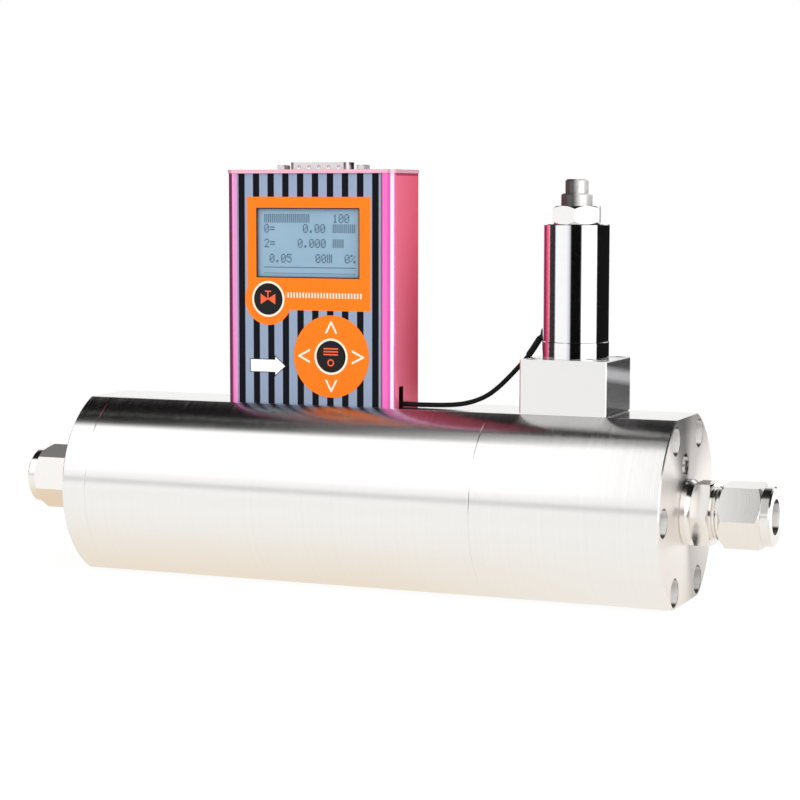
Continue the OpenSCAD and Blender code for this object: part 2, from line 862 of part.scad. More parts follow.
// Capillary loop: two legs, two quarter bends and a level stretch
module sensor_tube() {
    bend_r = 3;
    foot_z = deck_z + 0.5;
    top_z = deck_z + sensor_h + capillary_h;
    color([0.72, 0.72, 0.70])
        translate([0, sensor_back, 0])
            union() {
                for (sx = [-1, 1]) {
                    translate([sx * tap_half, 0, foot_z])
                        cylinder(d = capillary_d, h = top_z - bend_r - foot_z, $fn = 24);
                    translate([sx * (tap_half - bend_r), 0, top_z - bend_r])
                        rotate([90, 0, 0])
                            rotate(sx > 0 ? 0 : 90)
                                rotate_extrude(angle = 90)
                                    translate([bend_r, 0])
                                        circle(d = capillary_d, $fn = 24);
                }
                translate([-(tap_half - bend_r), 0, top_z])
                    rotate([0, 90, 0])
                        cylinder(d = capillary_d, h = 2 * (tap_half - bend_r), $fn = 24);
            }
}

module sensor_windings() {
    top_z = deck_z + sensor_h + capillary_h;
    color([0.72, 0.38, 0.16])
        for (sx = [-1, 1])
            translate([sx * (sensor_winding_l / 2 + 0.8) - sensor_winding_l / 2, sensor_back, top_z])
                rotate([0, 90, 0])
                    difference() {
                        cylinder(d = capillary_d + 1.2, h = sensor_winding_l, $fn = 32);
                        translate([0, 0, -cut])
                            cylinder(d = capillary_d + 2 * seat_gap, h = sensor_winding_l + 2 * cut, $fn = 32);
                    }
}

module sensor_cover() {
    half_l = tap_half + 3.5;
    w = sensor_w - 2;
    color([0.68, 0.69, 0.70])
        translate([0, sensor_back, deck_z + sensor_h])
            difference() {
                translate([-half_l, -w / 2, 0])
                    cube([2 * half_l, w, cover_h]);
                translate([-half_l + cover_wall, -w / 2 + cover_wall, -cut])
                    cube([2 * (half_l - cover_wall), w - 2 * cover_wall, cover_h - cover_wall + cut]);
            }
}

module port_orings() {
    t = small_ring_t - 2 * seat_gap;
    color([0.10, 0.10, 0.11]) {
        for (sx = [-1, 1])
            translate([sx * tap_half, sensor_back, deck_z])
                o_ring(small_ring_d / 2, t);
        for (x = [feed_x, valve_x])
            translate([x, 0, deck_z])
                o_ring(small_ring_d / 2, t);
    }
}

// ---------------------------------------------------------------- control valve

module valve_block() {
    feed_rise_z = chamber_z - deck_z + passage_d / 2;
    color([0.83, 0.83, 0.83])
        difference() {
            translate([valve_x, 0, deck_z])
                intersection() {
                    linear_extrude(block_h)
                        cut_corners(block_l, block_w, block_c);
                    translate([0, block_w / 2, block_h / 2])
                        rotate([90, 0, 0])
                            linear_extrude(block_w)
                                cut_corners(block_l, block_h, block_c);
                }
            // valve chamber, with the counterbore for the flange of the core tube
            translate([valve_x, 0, chamber_z])
                cylinder(d = valve_chamber_d, h = block_h);
            translate([valve_x, 0, core_flange_z])
                cylinder(d = core_flange_d + 2 * slip_gap, h = core_flange_t + cut);
            // return passage under the seat, and the feed passage beside it
            translate([valve_x, 0, deck_z - cut])
                cylinder(d = passage_d, h = block_h / 2, $fn = 32);
            translate([feed_x, 0, deck_z - cut])
                cylinder(d = passage_d, h = feed_rise_z + cut, $fn = 32);
            translate([feed_x, 0, deck_z + feed_rise_z])
                rotate([0, 90, 0])
                    cylinder(d = passage_d, h = valve_x - feed_x, $fn = 32);
            for (x = [feed_x, valve_x])
                translate([x, 0, deck_z])
                    mirror([0, 0, 1])
                        ring_groove(small_ring_d / 2, small_ring_t + 0.3, small_ring_t);
            for (sx = [-1, 1], sy = [-1, 1])
                translate([valve_x + sx * block_screw_dx, sy * block_screw_dy, deck_z])
                    m3_clearance(block_h);
        }
}

module valve_block_screws() {
    color([0.45, 0.45, 0.46])
        for (sx = [-1, 1], sy = [-1, 1])
            translate([valve_x + sx * block_screw_dx, sy * block_screw_dy, block_z - m3_cb_l])
                cap_screw(m3_d, block_screw_l, m3_head_d, m3_head_h);
}

// Nozzle that the plunger closes, on the floor of the valve chamber
module valve_seat() {
    color([0.70, 0.70, 0.72])
        translate([valve_x, 0, chamber_z])
            difference() {
                rotate_extrude()
                    polygon([[0, 0], [seat_d / 2 + 1.4, 0], [seat_d / 2 + 1.4, seat_flange_t],
                             [seat_d / 2, seat_flange_t], [orifice_d / 2 + 0.5, seat_top_z - chamber_z],
                             [0, seat_top_z - chamber_z]]);
                translate([0, 0, -cut])
                    cylinder(d = orifice_d, h = block_h, $fn = 32);
            }
}

module plunger() {
    color([0.66, 0.67, 0.68])
        translate([valve_x, 0, plunger_z])
            difference() {
                cylinder(d = core_d, h = plunger_l);
                translate([0, 0, -cut])
                    cylinder(d = pad_d + 2 * seat_gap, h = pad_t + seat_gap + cut);
                translate([0, 0, plunger_l - spring_pocket_l])
                    cylinder(d = spring_d + 2 * spring_gap, h = spring_pocket_l + cut);
            }
}

module seat_pad() {
    color([0.12, 0.12, 0.13])
        translate([valve_x, 0, plunger_z])
            cylinder(d = pad_d, h = pad_t);
}

// Closed tube swept along a list of points, with one ring at each point
module swept_tube(points, d, sides) {
    n = len(points);
    rings = [for (i = [0 : n - 1]) ring_at(points, i, d / 2, sides)];
    verts = [for (ring = rings) each ring];
    walls = [for (i = [0 : n - 2], k = [0 : sides - 1])
                [i * sides + k, i * sides + (k + 1) % sides,
                 (i + 1) * sides + (k + 1) % sides, (i + 1) * sides + k]];
    first = [for (k = [sides - 1 : -1 : 0]) k];
    last = [for (k = [0 : sides - 1]) (n - 1) * sides + k];
    polyhedron(points = verts, faces = concat(walls, [first], [last]), convexity = 6);
}

function unit(v) = v / norm(v);
function tangent(p, i) = unit(p[min(i + 1, len(p) - 1)] - p[max(i - 1, 0)]);
function ring_at(p, i, r, sides) =
    let (t = tangent(p, i),
         across = unit(cross(t, abs(t[2]) < 0.9 ? [0, 0, 1] : [0, 1, 0])),
         over = cross(across, t))
    [for (k = [0 : sides - 1]) p[i] + r * (cos(360 * k / sides) * across + sin(360 * k / sides) * over)];

// Compression spring between the floor of the plunger's pocket and the fixed core
module plunger_spring() {
    steps = 12;
    foot_z = plunger_z + plunger_l - spring_pocket_l + spring_wire_d / 2 + seat_gap;
    rise = core_z - seat_gap - spring_wire_d / 2 - foot_z;
    mid_r = spring_d / 2 - spring_wire_d / 2;
    points = [for (i = [0 : spring_turns * steps])
                 let (a = 360 * i / steps)
                 [valve_x + mid_r * cos(a), mid_r * sin(a), foot_z + rise * i / (spring_turns * steps)]];
    color([0.60, 0.61, 0.63])
        swept_tube(points, spring_wire_d, 6);
}

// Tube that guides the plunger, with its flange in the block and its thread for the lock nut
module core_tube() {
    color([0.74, 0.74, 0.75])
        translate([valve_x, 0, core_flange_z])
            difference() {
                union() {
                    cylinder(d = core_flange_d, h = core_flange_t);
                    cylinder(d = core_tube_d, h = lock_end_z - core_flange_z);
                }
                translate([0, 0, -cut])
                    cylinder(d = core_bore_d, h = lock_end_z - core_flange_z + 2 * cut);
            }
}

// Fixed core above the plunger: its collar rests on the lock nut, its stem takes a key
module fixed_core() {
    l = stem_end_z - core_z;
    z = core_collar_z - core_z;
    r = core_collar_d / 2;
    color([0.60, 0.60, 0.62])
        translate([valve_x, 0, core_z])
            difference() {
                rotate_extrude()
                    polygon([[0, 0], [core_d / 2, 0], [core_d / 2, z], [r, z],
                             [r, z + core_collar_h - 0.5], [r - 0.5, z + core_collar_h],
                             [core_d / 2, z + core_collar_h], [core_d / 2, l - 0.6],
                             [core_d / 2 - 0.6, l], [0, l]]);
                translate([0, 0, l - 3])
                    cylinder(d = core_d * 0.5, h = 3 + cut, $fn = 6);
            }
}

module coil_bobbin() {
    bore_d = core_tube_d + 0.2;
    flange_d = housing_d - 2 * housing_wall - 0.4;
    color([0.90, 0.89, 0.84])
        translate([valve_x, 0, tube_z])
            difference() {
                union() {
                    cylinder(d = bore_d + 2 * bobbin_wall, h = housing_h);
                    for (z = [0, housing_h - bobbin_flange_t])
                        translate([0, 0, z])
                            cylinder(d = flange_d, h = bobbin_flange_t);
                }
                translate([0, 0, -cut])
                    cylinder(d = bore_d, h = housing_h + 2 * cut);
            }
}

module coil_winding() {
    inner_d = core_tube_d + 0.2 + 2 * bobbin_wall;
    outer_d = housing_d - 2 * housing_wall - 2 * winding_gap;
    color([0.72, 0.40, 0.18])
        translate([valve_x, 0, tube_z + bobbin_flange_t])
            difference() {
                cylinder(d = outer_d, h = housing_h - 2 * bobbin_flange_t);
                translate([0, 0, -cut])
                    cylinder(d = inner_d, h = housing_h);
            }
}

module housing_base() {
    ri = core_tube_d / 2 + slip_gap;
    ro = housing_d / 2 + ring_lip;
    color([0.86, 0.87, 0.88])
        translate([valve_x, 0, ring_z])
            rotate_extrude()
                polygon([[ri, 0], [ro, 0], [ro, ring_h - ring_c], [ro - ring_c, ring_h], [ri, ring_h]]);
}

module coil_housing() {
    color([0.88, 0.89, 0.90])
        difference() {
            translate([valve_x, 0, tube_z])
                difference() {
                    cylinder(d = housing_d, h = housing_h);
                    translate([0, 0, -cut])
                        cylinder(d = housing_d - 2 * housing_wall, h = housing_h + 2 * cut);
                }
            translate([valve_x - housing_d, 0, deck_z + lead_end_z])
                rotate([0, 90, 0])
                    cylinder(d = bush_d, h = housing_d, $fn = 32);
        }
}

module housing_top() {
    color([0.86, 0.87, 0.88])
        translate([valve_x, 0, housing_end_z])
            difference() {
                rotate_extrude()
                    polygon([[0, 0], [housing_d / 2, 0], [housing_d / 2, housing_top_t - 0.3],
                             [housing_d / 2 - 0.3, housing_top_t], [0, housing_top_t]]);
                translate([0, 0, -cut])
                    cylinder(d = core_tube_d + 2 * slip_gap, h = housing_top_t + 2 * cut);
            }
}

module lock_nut() {
    color([0.84, 0.83, 0.81])
        translate([valve_x, 0, top_end_z])
            difference() {
                rotate(lock_turn)
                    turned_hex(lock_af, lock_h, 1.1);
                translate([0, 0, -cut])
                    cylinder(d = core_tube_d + 2 * thread_gap, h = lock_h + 2 * cut);
            }
}

// Rubber bush in the housing, with a rim outside
module lead_bush() {
    color([0.08, 0.08, 0.09])
        translate([lead_end_x - bush_rim_t, 0, deck_z + lead_end_z])
            rotate([0, 90, 0])
                difference() {
                    union() {
                        cylinder(d = bush_d - 2 * seat_gap, h = bush_rim_t + housing_wall + 0.1, $fn = 32);
                        cylinder(d = bush_d + 0.8, h = bush_rim_t - bush_sag, $fn = 32);
                    }
                    translate([0, 0, -cut])
                        cylinder(d = lead_d + 2 * seat_gap, h = bush_rim_t + housing_wall + 3 * cut, $fn = 32);
                }
}

// Lead from the case notch to the housing of the valve, its upper end in a sleeve
module valve_lead() {
    sleeve = [[lead_end_x - 6, -0.4, lead_end_z - 8.25], [lead_end_x - 4.1, -0.2, lead_end_z - 5.4],
              [lead_end_x - 2.55, -0.1, lead_end_z - 2.8], [lead_end_x - 1.75, 0, lead_end_z - 1.2]];
    end = [[lead_end_x - 1.2, 0, lead_end_z - 0.15], [lead_end_x - 0.5, 0, lead_end_z],
           [lead_end_x + housing_wall, 0, lead_end_z]];
    color([0.06, 0.06, 0.07])
        translate([0, 0, deck_z]) {
            swept_tube(concat(lead_route, sleeve, end), lead_d, lead_sides);
            swept_tube(sleeve, lead_sleeve_d, lead_sides);
        }
}

// ---------------------------------------------------------------- head

module case_outline(r, w, t) {
    rounded_plate(w, t, r);
}

// Extruded case: rounded outside, flat recess in front, guides and screw lugs inside
module case_shell() {
    upper_h = case_h - inner_clear_h;
    color([0.80, 0.16, 0.32])
        difference() {
            union() {
                translate([0, 0, deck_z])
                    linear_extrude(case_h)
                        difference() {
                            case_outline(case_r, case_w, case_t);
                            translate([-inner_half_w, wall_y])
                                square([2 * inner_half_w, inner_back - wall_y]);
                        }
                for (sx = [-1, 1])
                    translate([sx * inner_half_w, 0, deck_z + inner_clear_h]) {
                        for (y = [main_board_y - slip_gap - guide_t, main_board_y + board_t + slip_gap])
                            translate([sx > 0 ? -guide_l : -cut / 2, y, 0])
                                cube([guide_l + cut / 2, guide_t, upper_h]);
                        for (y = [wall_y - cut / 2, inner_back - lug_t])
                            translate([sx > 0 ? -lug_w : -cut / 2, y, 0])
                                cube([lug_w + cut / 2, lug_t + cut / 2, upper_h]);
                    }
            }
            translate([-recess_w / 2, case_front - cut, deck_z - cut])
                cube([recess_w, recess_t + cut, case_h + 2 * cut]);
            translate([-window_x, (case_front + wall_y) / 2, deck_z + window_z])
                cube([window_w + 2, recess_t + case_wall + 2 * cut, window_h + 2], center = true);
            for (p = key_places)
                translate([p[0], case_front - cut, deck_z + p[1]])
                    rotate([-90, 0, 0])
                        cylinder(d = key_stem_d + 1.2, h = recess_t + case_wall + 2 * cut, $fn = 32);
            translate([inner_half_w - cut, -notch_y - notch_w / 2, deck_z - cut])
                cube([case_wall + 2 * cut, notch_w, notch_h + cut]);
            for (sx = [-1, 1]) {
                for (y = top_screw_y)
                    translate([sx * top_screw_x, y, case_end_z - top_screw_l - cut])
                        cylinder(d = top_screw_d + 2 * thread_gap, h = top_screw_l + 2 * cut, $fn = 32);
                translate([sx * foot_x(), case_back + cut, deck_z + foot_screw_z])
                    rotate([90, 0, 0])
                        cylinder(d = m3_d + shank_gap, h = case_wall + 2 * cut, $fn = 32);
            }
        }
}

module d_outline(l, w) {
    r = 2.6;
    slope = (w - 2 * r) * tan(10);
    hull()
        for (sx = [-1, 1], sy = [-1, 1])
            translate([sx * (l / 2 - r - (sy > 0 ? slope : 0)), sy * (w / 2 - r)])
                circle(r = r, $fn = 32);
}

module case_top() {
    color([0.82, 0.18, 0.34])
        translate([0, 0, case_end_z])
            difference() {
                linear_extrude(top_t)
                    difference() {
                        case_outline(case_r + top_lip, case_w + 2 * top_lip, case_t + 2 * top_lip);
                        translate([0, plug_y0])
                            d_outline(plug_l + 0.8, plug_w + 0.8);
                    }
                for (sx = [-1, 1]) {
                    translate([sx * jack_pitch / 2, plug_y0, -cut])
                        cylinder(d = 6.2, h = top_t + 2 * cut, $fn = 32);
                    for (y = top_screw_y)
                        translate([sx * top_screw_x, y, 0])
                            top_screw_hole();
                }
            }
}

// Clearance hole and countersink in the top plate
module top_screw_hole() {
    translate([0, 0, -cut])
        cylinder(d = top_screw_d + shank_gap, h = top_t + 2 * cut, $fn = 32);
    translate([0, 0, top_t - top_sink_h])
        cylinder(d1 = top_screw_d, d2 = top_screw_d + 2 * top_sink_h, h = top_sink_h, $fn = 48);
}

// Countersunk screws that hold the top plate down
module top_screws() {
    color([0.62, 0.62, 0.63])
        for (sx = [-1, 1], y = top_screw_y)
            translate([sx * top_screw_x, y, top_end - top_sink])
                difference() {
                    union() {
                        translate([0, 0, -top_screw_l])
                            cylinder(d = top_screw_d, h = top_screw_l, $fn = 32);
                        translate([0, 0, -top_head_h])
                            cylinder(d1 = top_screw_d, d2 = top_head_d, h = top_head_h, $fn = 48);
                    }
                    translate([0, 0, -0.6])
                        cylinder(d = top_screw_d * 0.7, h = 1, $fn = 6);
                }
}

module case_feet() {
    l = inner_back - slip_gap - foot_front;
    color([0.70, 0.71, 0.72])
        for (sx = [-1, 1])
            difference() {
                translate([sx * foot_x() - foot_l / 2, foot_front, deck_z])
                    cube([foot_l, l, foot_h]);
                translate([sx * foot_x(), foot_screw_y, deck_z])
                    m3_clearance(foot_h);
                translate([sx * foot_x(), case_back - case_screw_l, deck_z + foot_screw_z])
                    rotate([-90, 0, 0])
                        cylinder(d = m3_d + 2 * thread_gap, h = case_screw_l, $fn = 32);
            }
}

module case_screws() {
    color([0.45, 0.45, 0.46])
        for (sx = [-1, 1]) {
            translate([sx * foot_x(), foot_screw_y, deck_z + foot_h - m3_cb_l])
                cap_screw(m3_d, case_screw_l, m3_head_d, m3_head_h);
            translate([sx * foot_x(), case_back, deck_z + foot_screw_z])
                rotate([-90, 0, 0])
                    cap_screw(m3_d, case_screw_l - seat_gap, m3_head_d, m3_head_h);
            translate([sx * sensor_screw_x, sensor_back, deck_z + sensor_h - m3_cb_l])
                cap_screw(m3_d, case_screw_l, m3_head_d, m3_head_h);
        }
}

// Printed film in the recess, with raised keys and an open window
module front_overlay() {
    color([0.55, 0.62, 0.70])
        difference() {
            union() {
                translate([-recess_w / 2 + slip_gap, recess_y - overlay_t, deck_z + slip_gap])
                    cube([recess_w - 2 * slip_gap, overlay_t, case_h - 2 * slip_gap]);
                key_pad(-valve_key_x, valve_key_z, key_d, key_rise);
                key_pad(key_ring_x, key_ring_z, key_ring_d, key_rise * 0.6);
                key_pad(key_ring_x, key_ring_z, key_d, key_rise);
            }
            translate([-window_x, recess_y, deck_z + window_z])
                cube([window_w, 4 * overlay_t, window_h], center = true);
        }
}

module key_pad(x, z, d, rise) {
    translate([x, recess_y - overlay_t + seat_gap, deck_z + z])
        rotate([90, 0, 0])
            cylinder(d = d, h = rise + seat_gap);
}

module lcd_panel() {
    body_w = 2 * board_half_w - 2;
    body_h = window_h + 7;
    color([0.55, 0.66, 0.74])
        translate([-window_x, 0, deck_z + window_z])
            union() {
                translate([-window_w / 2 - 0.8, recess_y + lcd_sink, -window_h / 2 - 0.8])
                    cube([window_w + 1.6, case_wall - lcd_sink + 0.3, window_h + 1.6]);
                translate([-body_w / 2, wall_y + slip_gap, -body_h / 2])
                    cube([body_w, lcd_body_t, body_h]);
            }
}

module display_board() {
    color([0.05, 0.30, 0.16])
        translate([-board_half_w, display_y, display_z])
            cube([2 * board_half_w, board_t, display_h]);
}

module key_switches() {
    color([0.10, 0.10, 0.11])
        for (p = key_places)
            difference() {
                translate([p[0] - switch_w / 2, display_y - switch_h, deck_z + p[1] - switch_w / 2])
                    cube([switch_w, switch_h, switch_w]);
                translate([p[0], display_y - switch_h - cut, deck_z + p[1]])
                    rotate([-90, 0, 0])
                        cylinder(d = key_stem_d + 2 * key_gap, h = cut + stem_sink + 2 * key_travel, $fn = 32);
            }
}

// Stem of one key switch, from behind the overlay into the switch
module key_stem(p) {
    l = display_y - switch_h + stem_sink - stem_front;
    color([0.85, 0.84, 0.80])
        translate([p[0], stem_front, deck_z + p[1]])
            rotate([-90, 0, 0])
                cylinder(d = key_stem_d, h = l, $fn = 32);
}

module valve_key() {
    key_stem(key_places[0]);
}

module ok_key() {
    key_stem(key_places[1]);
}

module up_key() {
    key_stem(key_places[2]);
}

module down_key() {
    key_stem(key_places[3]);
}

module left_key() {
    key_stem(key_places[4]);
}

module right_key() {
    key_stem(key_places[5]);
}

module main_board() {
    half_w = inner_half_w - 0.2;
    color([0.05, 0.32, 0.18])
        translate([-half_w, main_board_y, main_board_z])
            cube([2 * half_w, board_t, board_end_z - main_board_z]);
}

module board_standoffs() {
    color([0.80, 0.68, 0.30])
        for (sx = [-1, 1], z = standoff_z)
            translate([sx * standoff_x, display_y + board_t, z])
                rotate([-90, 0, 0])
                    cylinder(d = 4, h = standoff_l, $fn = 32);
}

// ---------------------------------------------------------------- plug

// Drawn shell: a flange with a D-shaped wall standing on it
module plug_shell() {
    wall = 0.5;
    color([0.80, 0.80, 0.78])
        translate([0, plug_y0, flange_z])
            difference() {
                union() {
                    translate([0, 0, -flange_t])
                        linear_extrude(flange_t)
                            rounded_plate(flange_l, flange_w, 1);
                    linear_extrude(plug_h)
                        d_outline(plug_l, plug_w);
                    for (sx = [-1, 1])
                        translate([sx * jack_pitch / 2, 0, -flange_t - clinch_l])
                            cylinder(d = 5.6, h = clinch_l + flange_t / 2, $fn = 32);
                }
                translate([0, 0, -flange_t - cut])
                    linear_extrude(plug_h + flange_t + 2 * cut)
                        d_outline(plug_l - 2 * wall, plug_w - 2 * wall);
                for (sx = [-1, 1])
                    translate([sx * jack_pitch / 2, 0, -flange_t - clinch_l - cut])
                        cylinder(d = jack_shank_d + 2 * thread_gap, h = flange_t + clinch_l + 2 * cut, $fn = 32);
                for (i = [-2 : 2], sy = [-1, 1])
                    translate([i * dimple_pitch, sy * (plug_w / 2 + 0.9), plug_h - 1.8])
                        sphere(r = 1.2, $fn = 32);
            }
}

// Places its children at each of the fifteen pins
module at_pins() {
    for (row = [0, 1], i = [0 : 7 - row])
        translate([(i - (7 - row) / 2) * pin_pitch, (row == 0 ? -1 : 1) * row_pitch / 2, 0])
            children();
}

module plug_insulator() {
    wall = 0.5;
    color([0.07, 0.07, 0.08])
        translate([0, plug_y0, flange_z])
            difference() {
                union() {
                    translate([0, 0, -flange_t - seat_gap])
                        linear_extrude(flange_t + 0.8)
                            d_outline(plug_l - 2 * wall - 2 * slip_gap, plug_w - 2 * wall - 2 * slip_gap);
                    translate([-plug_l / 2, -plug_w / 2, -flange_t - insulator_l])
                        cube([plug_l, plug_w, insulator_l]);
                }
                translate([0, 0, -flange_t - insulator_l - cut])
                    at_pins()
                        cylinder(d = pin_d + 2 * seat_gap, h = insulator_l + flange_t + 4 * cut, $fn = 24);
            }
}

module plug_pins() {
    below = flange_t + insulator_l + tail_l;
    color([0.86, 0.72, 0.36])
        translate([0, plug_y0, flange_z])
            at_pins() {
                translate([0, 0, -flange_t - insulator_l])
                    cylinder(d = pin_d, h = flange_t + insulator_l + pin_rise, $fn = 24);
                translate([0, 0, -below])
                    cylinder(r = tail_r, h = tail_l + seat_gap, $fn = 24);
            }
}

module jackposts() {
    color([0.74, 0.74, 0.72])
        for (sx = [-1, 1])
            translate([sx * jack_pitch / 2, plug_y0, flange_z])
                difference() {
                    union() {
                        turned_hex(jack_af, jack_h, 0.3);
                        translate([0, 0, -flange_t - clinch_l])
                            cylinder(d = jack_shank_d, h = flange_t + clinch_l + seat_gap, $fn = 32);
                    }
                    translate([0, 0, jack_h - jack_thread_l])
                        cylinder(d = jack_thread_d, h = jack_thread_l + cut, $fn = 32);
                }
}

inlet_cap();
inlet_cap_screws();
main_body();
outlet_body();
outlet_body_screws();
body_orings();
inlet_diffuser();
flow_element();
passage_plug();
inlet_fitting();
outlet_fitting();
inlet_nut();
outlet_nut();
front_ferrules();
back_ferrules();
fitting_orings();
sensor_block();
sensor_tube();
sensor_windings();
sensor_cover();
port_orings();
valve_block();
valve_block_screws();
valve_seat();
plunger();
seat_pad();
plunger_spring();
core_tube();
fixed_core();
coil_bobbin();
coil_winding();
housing_base();
coil_housing();
housing_top();
lock_nut();
lead_bush();
valve_lead();
case_shell();
case_top();
top_screws();
case_feet();
case_screws();
front_overlay();
lcd_panel();
display_board();
key_switches();
valve_key();
ok_key();
up_key();
down_key();
left_key();
right_key();
main_board();
board_standoffs();
plug_shell();
plug_insulator();
plug_pins();
jackposts();
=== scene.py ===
# %% [markdown]
# A mass flow controller is a heavy steel flow body with a display head and a
# solenoid valve on its deck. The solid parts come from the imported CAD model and
# are used as they are. This file gives every part its finish, adds the fine
# pieces that a drawing in CAD leaves out, and sets up a small studio.

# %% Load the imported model
import math
from types import SimpleNamespace

import bmesh
import bpy
from mathutils import Matrix, Vector


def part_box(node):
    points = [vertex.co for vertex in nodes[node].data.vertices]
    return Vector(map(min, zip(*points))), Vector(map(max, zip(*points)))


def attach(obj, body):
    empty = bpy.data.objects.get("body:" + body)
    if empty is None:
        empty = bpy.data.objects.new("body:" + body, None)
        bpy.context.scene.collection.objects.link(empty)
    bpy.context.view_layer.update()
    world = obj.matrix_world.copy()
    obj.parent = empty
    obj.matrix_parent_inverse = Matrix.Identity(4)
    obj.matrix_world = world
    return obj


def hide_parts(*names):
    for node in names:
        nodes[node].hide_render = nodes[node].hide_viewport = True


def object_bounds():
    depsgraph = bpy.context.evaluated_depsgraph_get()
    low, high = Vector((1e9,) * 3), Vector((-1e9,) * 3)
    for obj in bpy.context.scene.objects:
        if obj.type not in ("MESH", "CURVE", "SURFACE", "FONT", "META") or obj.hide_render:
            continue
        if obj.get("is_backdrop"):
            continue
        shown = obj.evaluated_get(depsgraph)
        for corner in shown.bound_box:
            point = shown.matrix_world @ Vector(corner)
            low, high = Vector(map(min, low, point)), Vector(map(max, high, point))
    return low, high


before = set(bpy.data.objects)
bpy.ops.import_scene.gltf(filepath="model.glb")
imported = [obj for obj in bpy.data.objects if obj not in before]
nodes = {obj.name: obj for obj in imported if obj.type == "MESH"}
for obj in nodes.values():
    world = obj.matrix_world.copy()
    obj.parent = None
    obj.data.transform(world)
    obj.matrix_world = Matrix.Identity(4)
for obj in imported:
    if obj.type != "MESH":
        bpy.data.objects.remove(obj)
cad_low, cad_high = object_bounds()
MM = 0.001
print("parts:", len(nodes), "size in mm:", [round(v / MM, 1) for v in cad_high - cad_low])

# %% [markdown]
# Places are worked out from the CAD parts, so that a finish or a new piece stays
# where it belongs. A box gives the lowest and highest corners of a part. Two lines
# matter most: the flow axis, which runs along X, and the valve's upright axis.

# %% Places that come from the CAD parts
def box_mm(name):
    return [[round(v / MM, 3) for v in corner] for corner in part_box(name)]


body_high = box_mm("outlet_body")[1]
case_high = box_mm("case_shell")[1]
nut_low, nut_high = box_mm("outlet_nut")
housing_low, housing_high = box_mm("coil_housing")

BODY_START = box_mm("inlet_cap")[0][0]
BODY_END, BODY_RADIUS, DECK = body_high
BODY_MIDDLE, BODY_HALF = (BODY_START + BODY_END) / 2, (BODY_END - BODY_START) / 2
AXIS = (nut_low[2] + nut_high[2]) / 2
DECK_UP = DECK - AXIS
CASE_SIDE, CASE_BACK, CASE_TOP = case_high
BLOCK_END = box_mm("valve_block")[1][0]
FLOW_AXIS = (0, 0, AXIS)
VALVE_AXIS = ((housing_low[0] + housing_high[0]) / 2, 0, 0)
print("flow axis at", AXIS, "deck at", DECK, "valve at", VALVE_AXIS[0], "mm")

# %% [markdown]
# The camera stands in front, a little to the outlet side and slightly above the
# deck, with a long lens so that the round body keeps its proportions. Its three
# axes are written down as directions, and the matrix turns them into a rotation.

# %% Set up the camera
BACKWARDS = Vector((0.38216, -0.91935, 0.09350))
UPWARDS = Vector((-0.03694, 0.08590, 0.99562))
RIGHTWARDS = UPWARDS.cross(BACKWARDS)
CAMERA_PLACE = (0.345925, -0.755771, 0.14627)

camera_data = bpy.data.cameras.new("studio_camera")
camera_data.lens = 97.58
camera_data.sensor_width = 36
camera_data.clip_start = 0.05
camera_data.clip_end = 30
camera = bpy.data.objects.new("studio_camera", camera_data)
turn = Matrix((RIGHTWARDS, UPWARDS, BACKWARDS)).transposed().to_4x4()
camera.matrix_world = Matrix.Translation(CAMERA_PLACE) @ turn
bpy.context.scene.collection.objects.link(camera)
bpy.context.scene.camera = camera
print("camera lens", camera_data.lens, "mm")

# %% [markdown]
# The valve's lead leaves the case through a notch, lies along the deck and climbs
# to a rubber bush in the coil housing. A lead is a curve with a round section: it
# keeps its thickness in every bend. The points are the route of the CAD lead, with
# heights from the deck, and each one carries the radius of the lead, which scales
# a bevel of one metre.

# %% Valve lead
LEAD_ROUTE = [
    (31, -6, 1.05), (36, -6, 1.05), (41, -5.9, 1.05), (46, -5.6, 1.1), (51, -5.2, 1.2),
    (56, -4.6, 1.5), (60, -4, 2.1), (64, -3.4, 3.3), (68, -2.8, 5.2), (72, -2.2, 8.2),
    (76, -1.6, 12.1), (79.5, -1, 15.9), (82.9, -0.5, 19.8), (85.15, -0.2, 23.1),
    (87.1, 0, 26.2), (88.8, 0, 28), (90.55, 0, 28.5),
]
LEAD_D = 1.8


def above_deck(x, y, z):
    return (x * MM, y * MM, (z + DECK) * MM)


lead_curve = bpy.data.curves.new("valve_lead_sheath", "CURVE")
lead_curve.dimensions = "3D"
lead_curve.bevel_depth = 1.0
lead_curve.bevel_resolution = 5
lead_curve.use_fill_caps = True
lead_curve.resolution_u = 8
spline = lead_curve.splines.new("BEZIER")
spline.bezier_points.add(len(LEAD_ROUTE) - 1)
for point, place in zip(spline.bezier_points, LEAD_ROUTE):
    point.co = above_deck(*place)
    point.radius = LEAD_D / 2 * MM
    point.handle_left_type = point.handle_right_type = "AUTO"
lead = bpy.data.objects.new("valve_lead_sheath", lead_curve)
bpy.context.scene.collection.objects.link(lead)
print("lead points:", len(LEAD_ROUTE), "diameter:", LEAD_D, "mm")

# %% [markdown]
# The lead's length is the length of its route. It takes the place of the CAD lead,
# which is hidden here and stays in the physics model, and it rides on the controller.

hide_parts("valve_lead")
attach(lead, "controller")

# %% [markdown]
# A shader is worked out with ordinary arithmetic. The class below wraps one
# socket, so that 1 - mask or mask * 0.3 adds the Math node that is needed, and
# every other node is added by its method node().

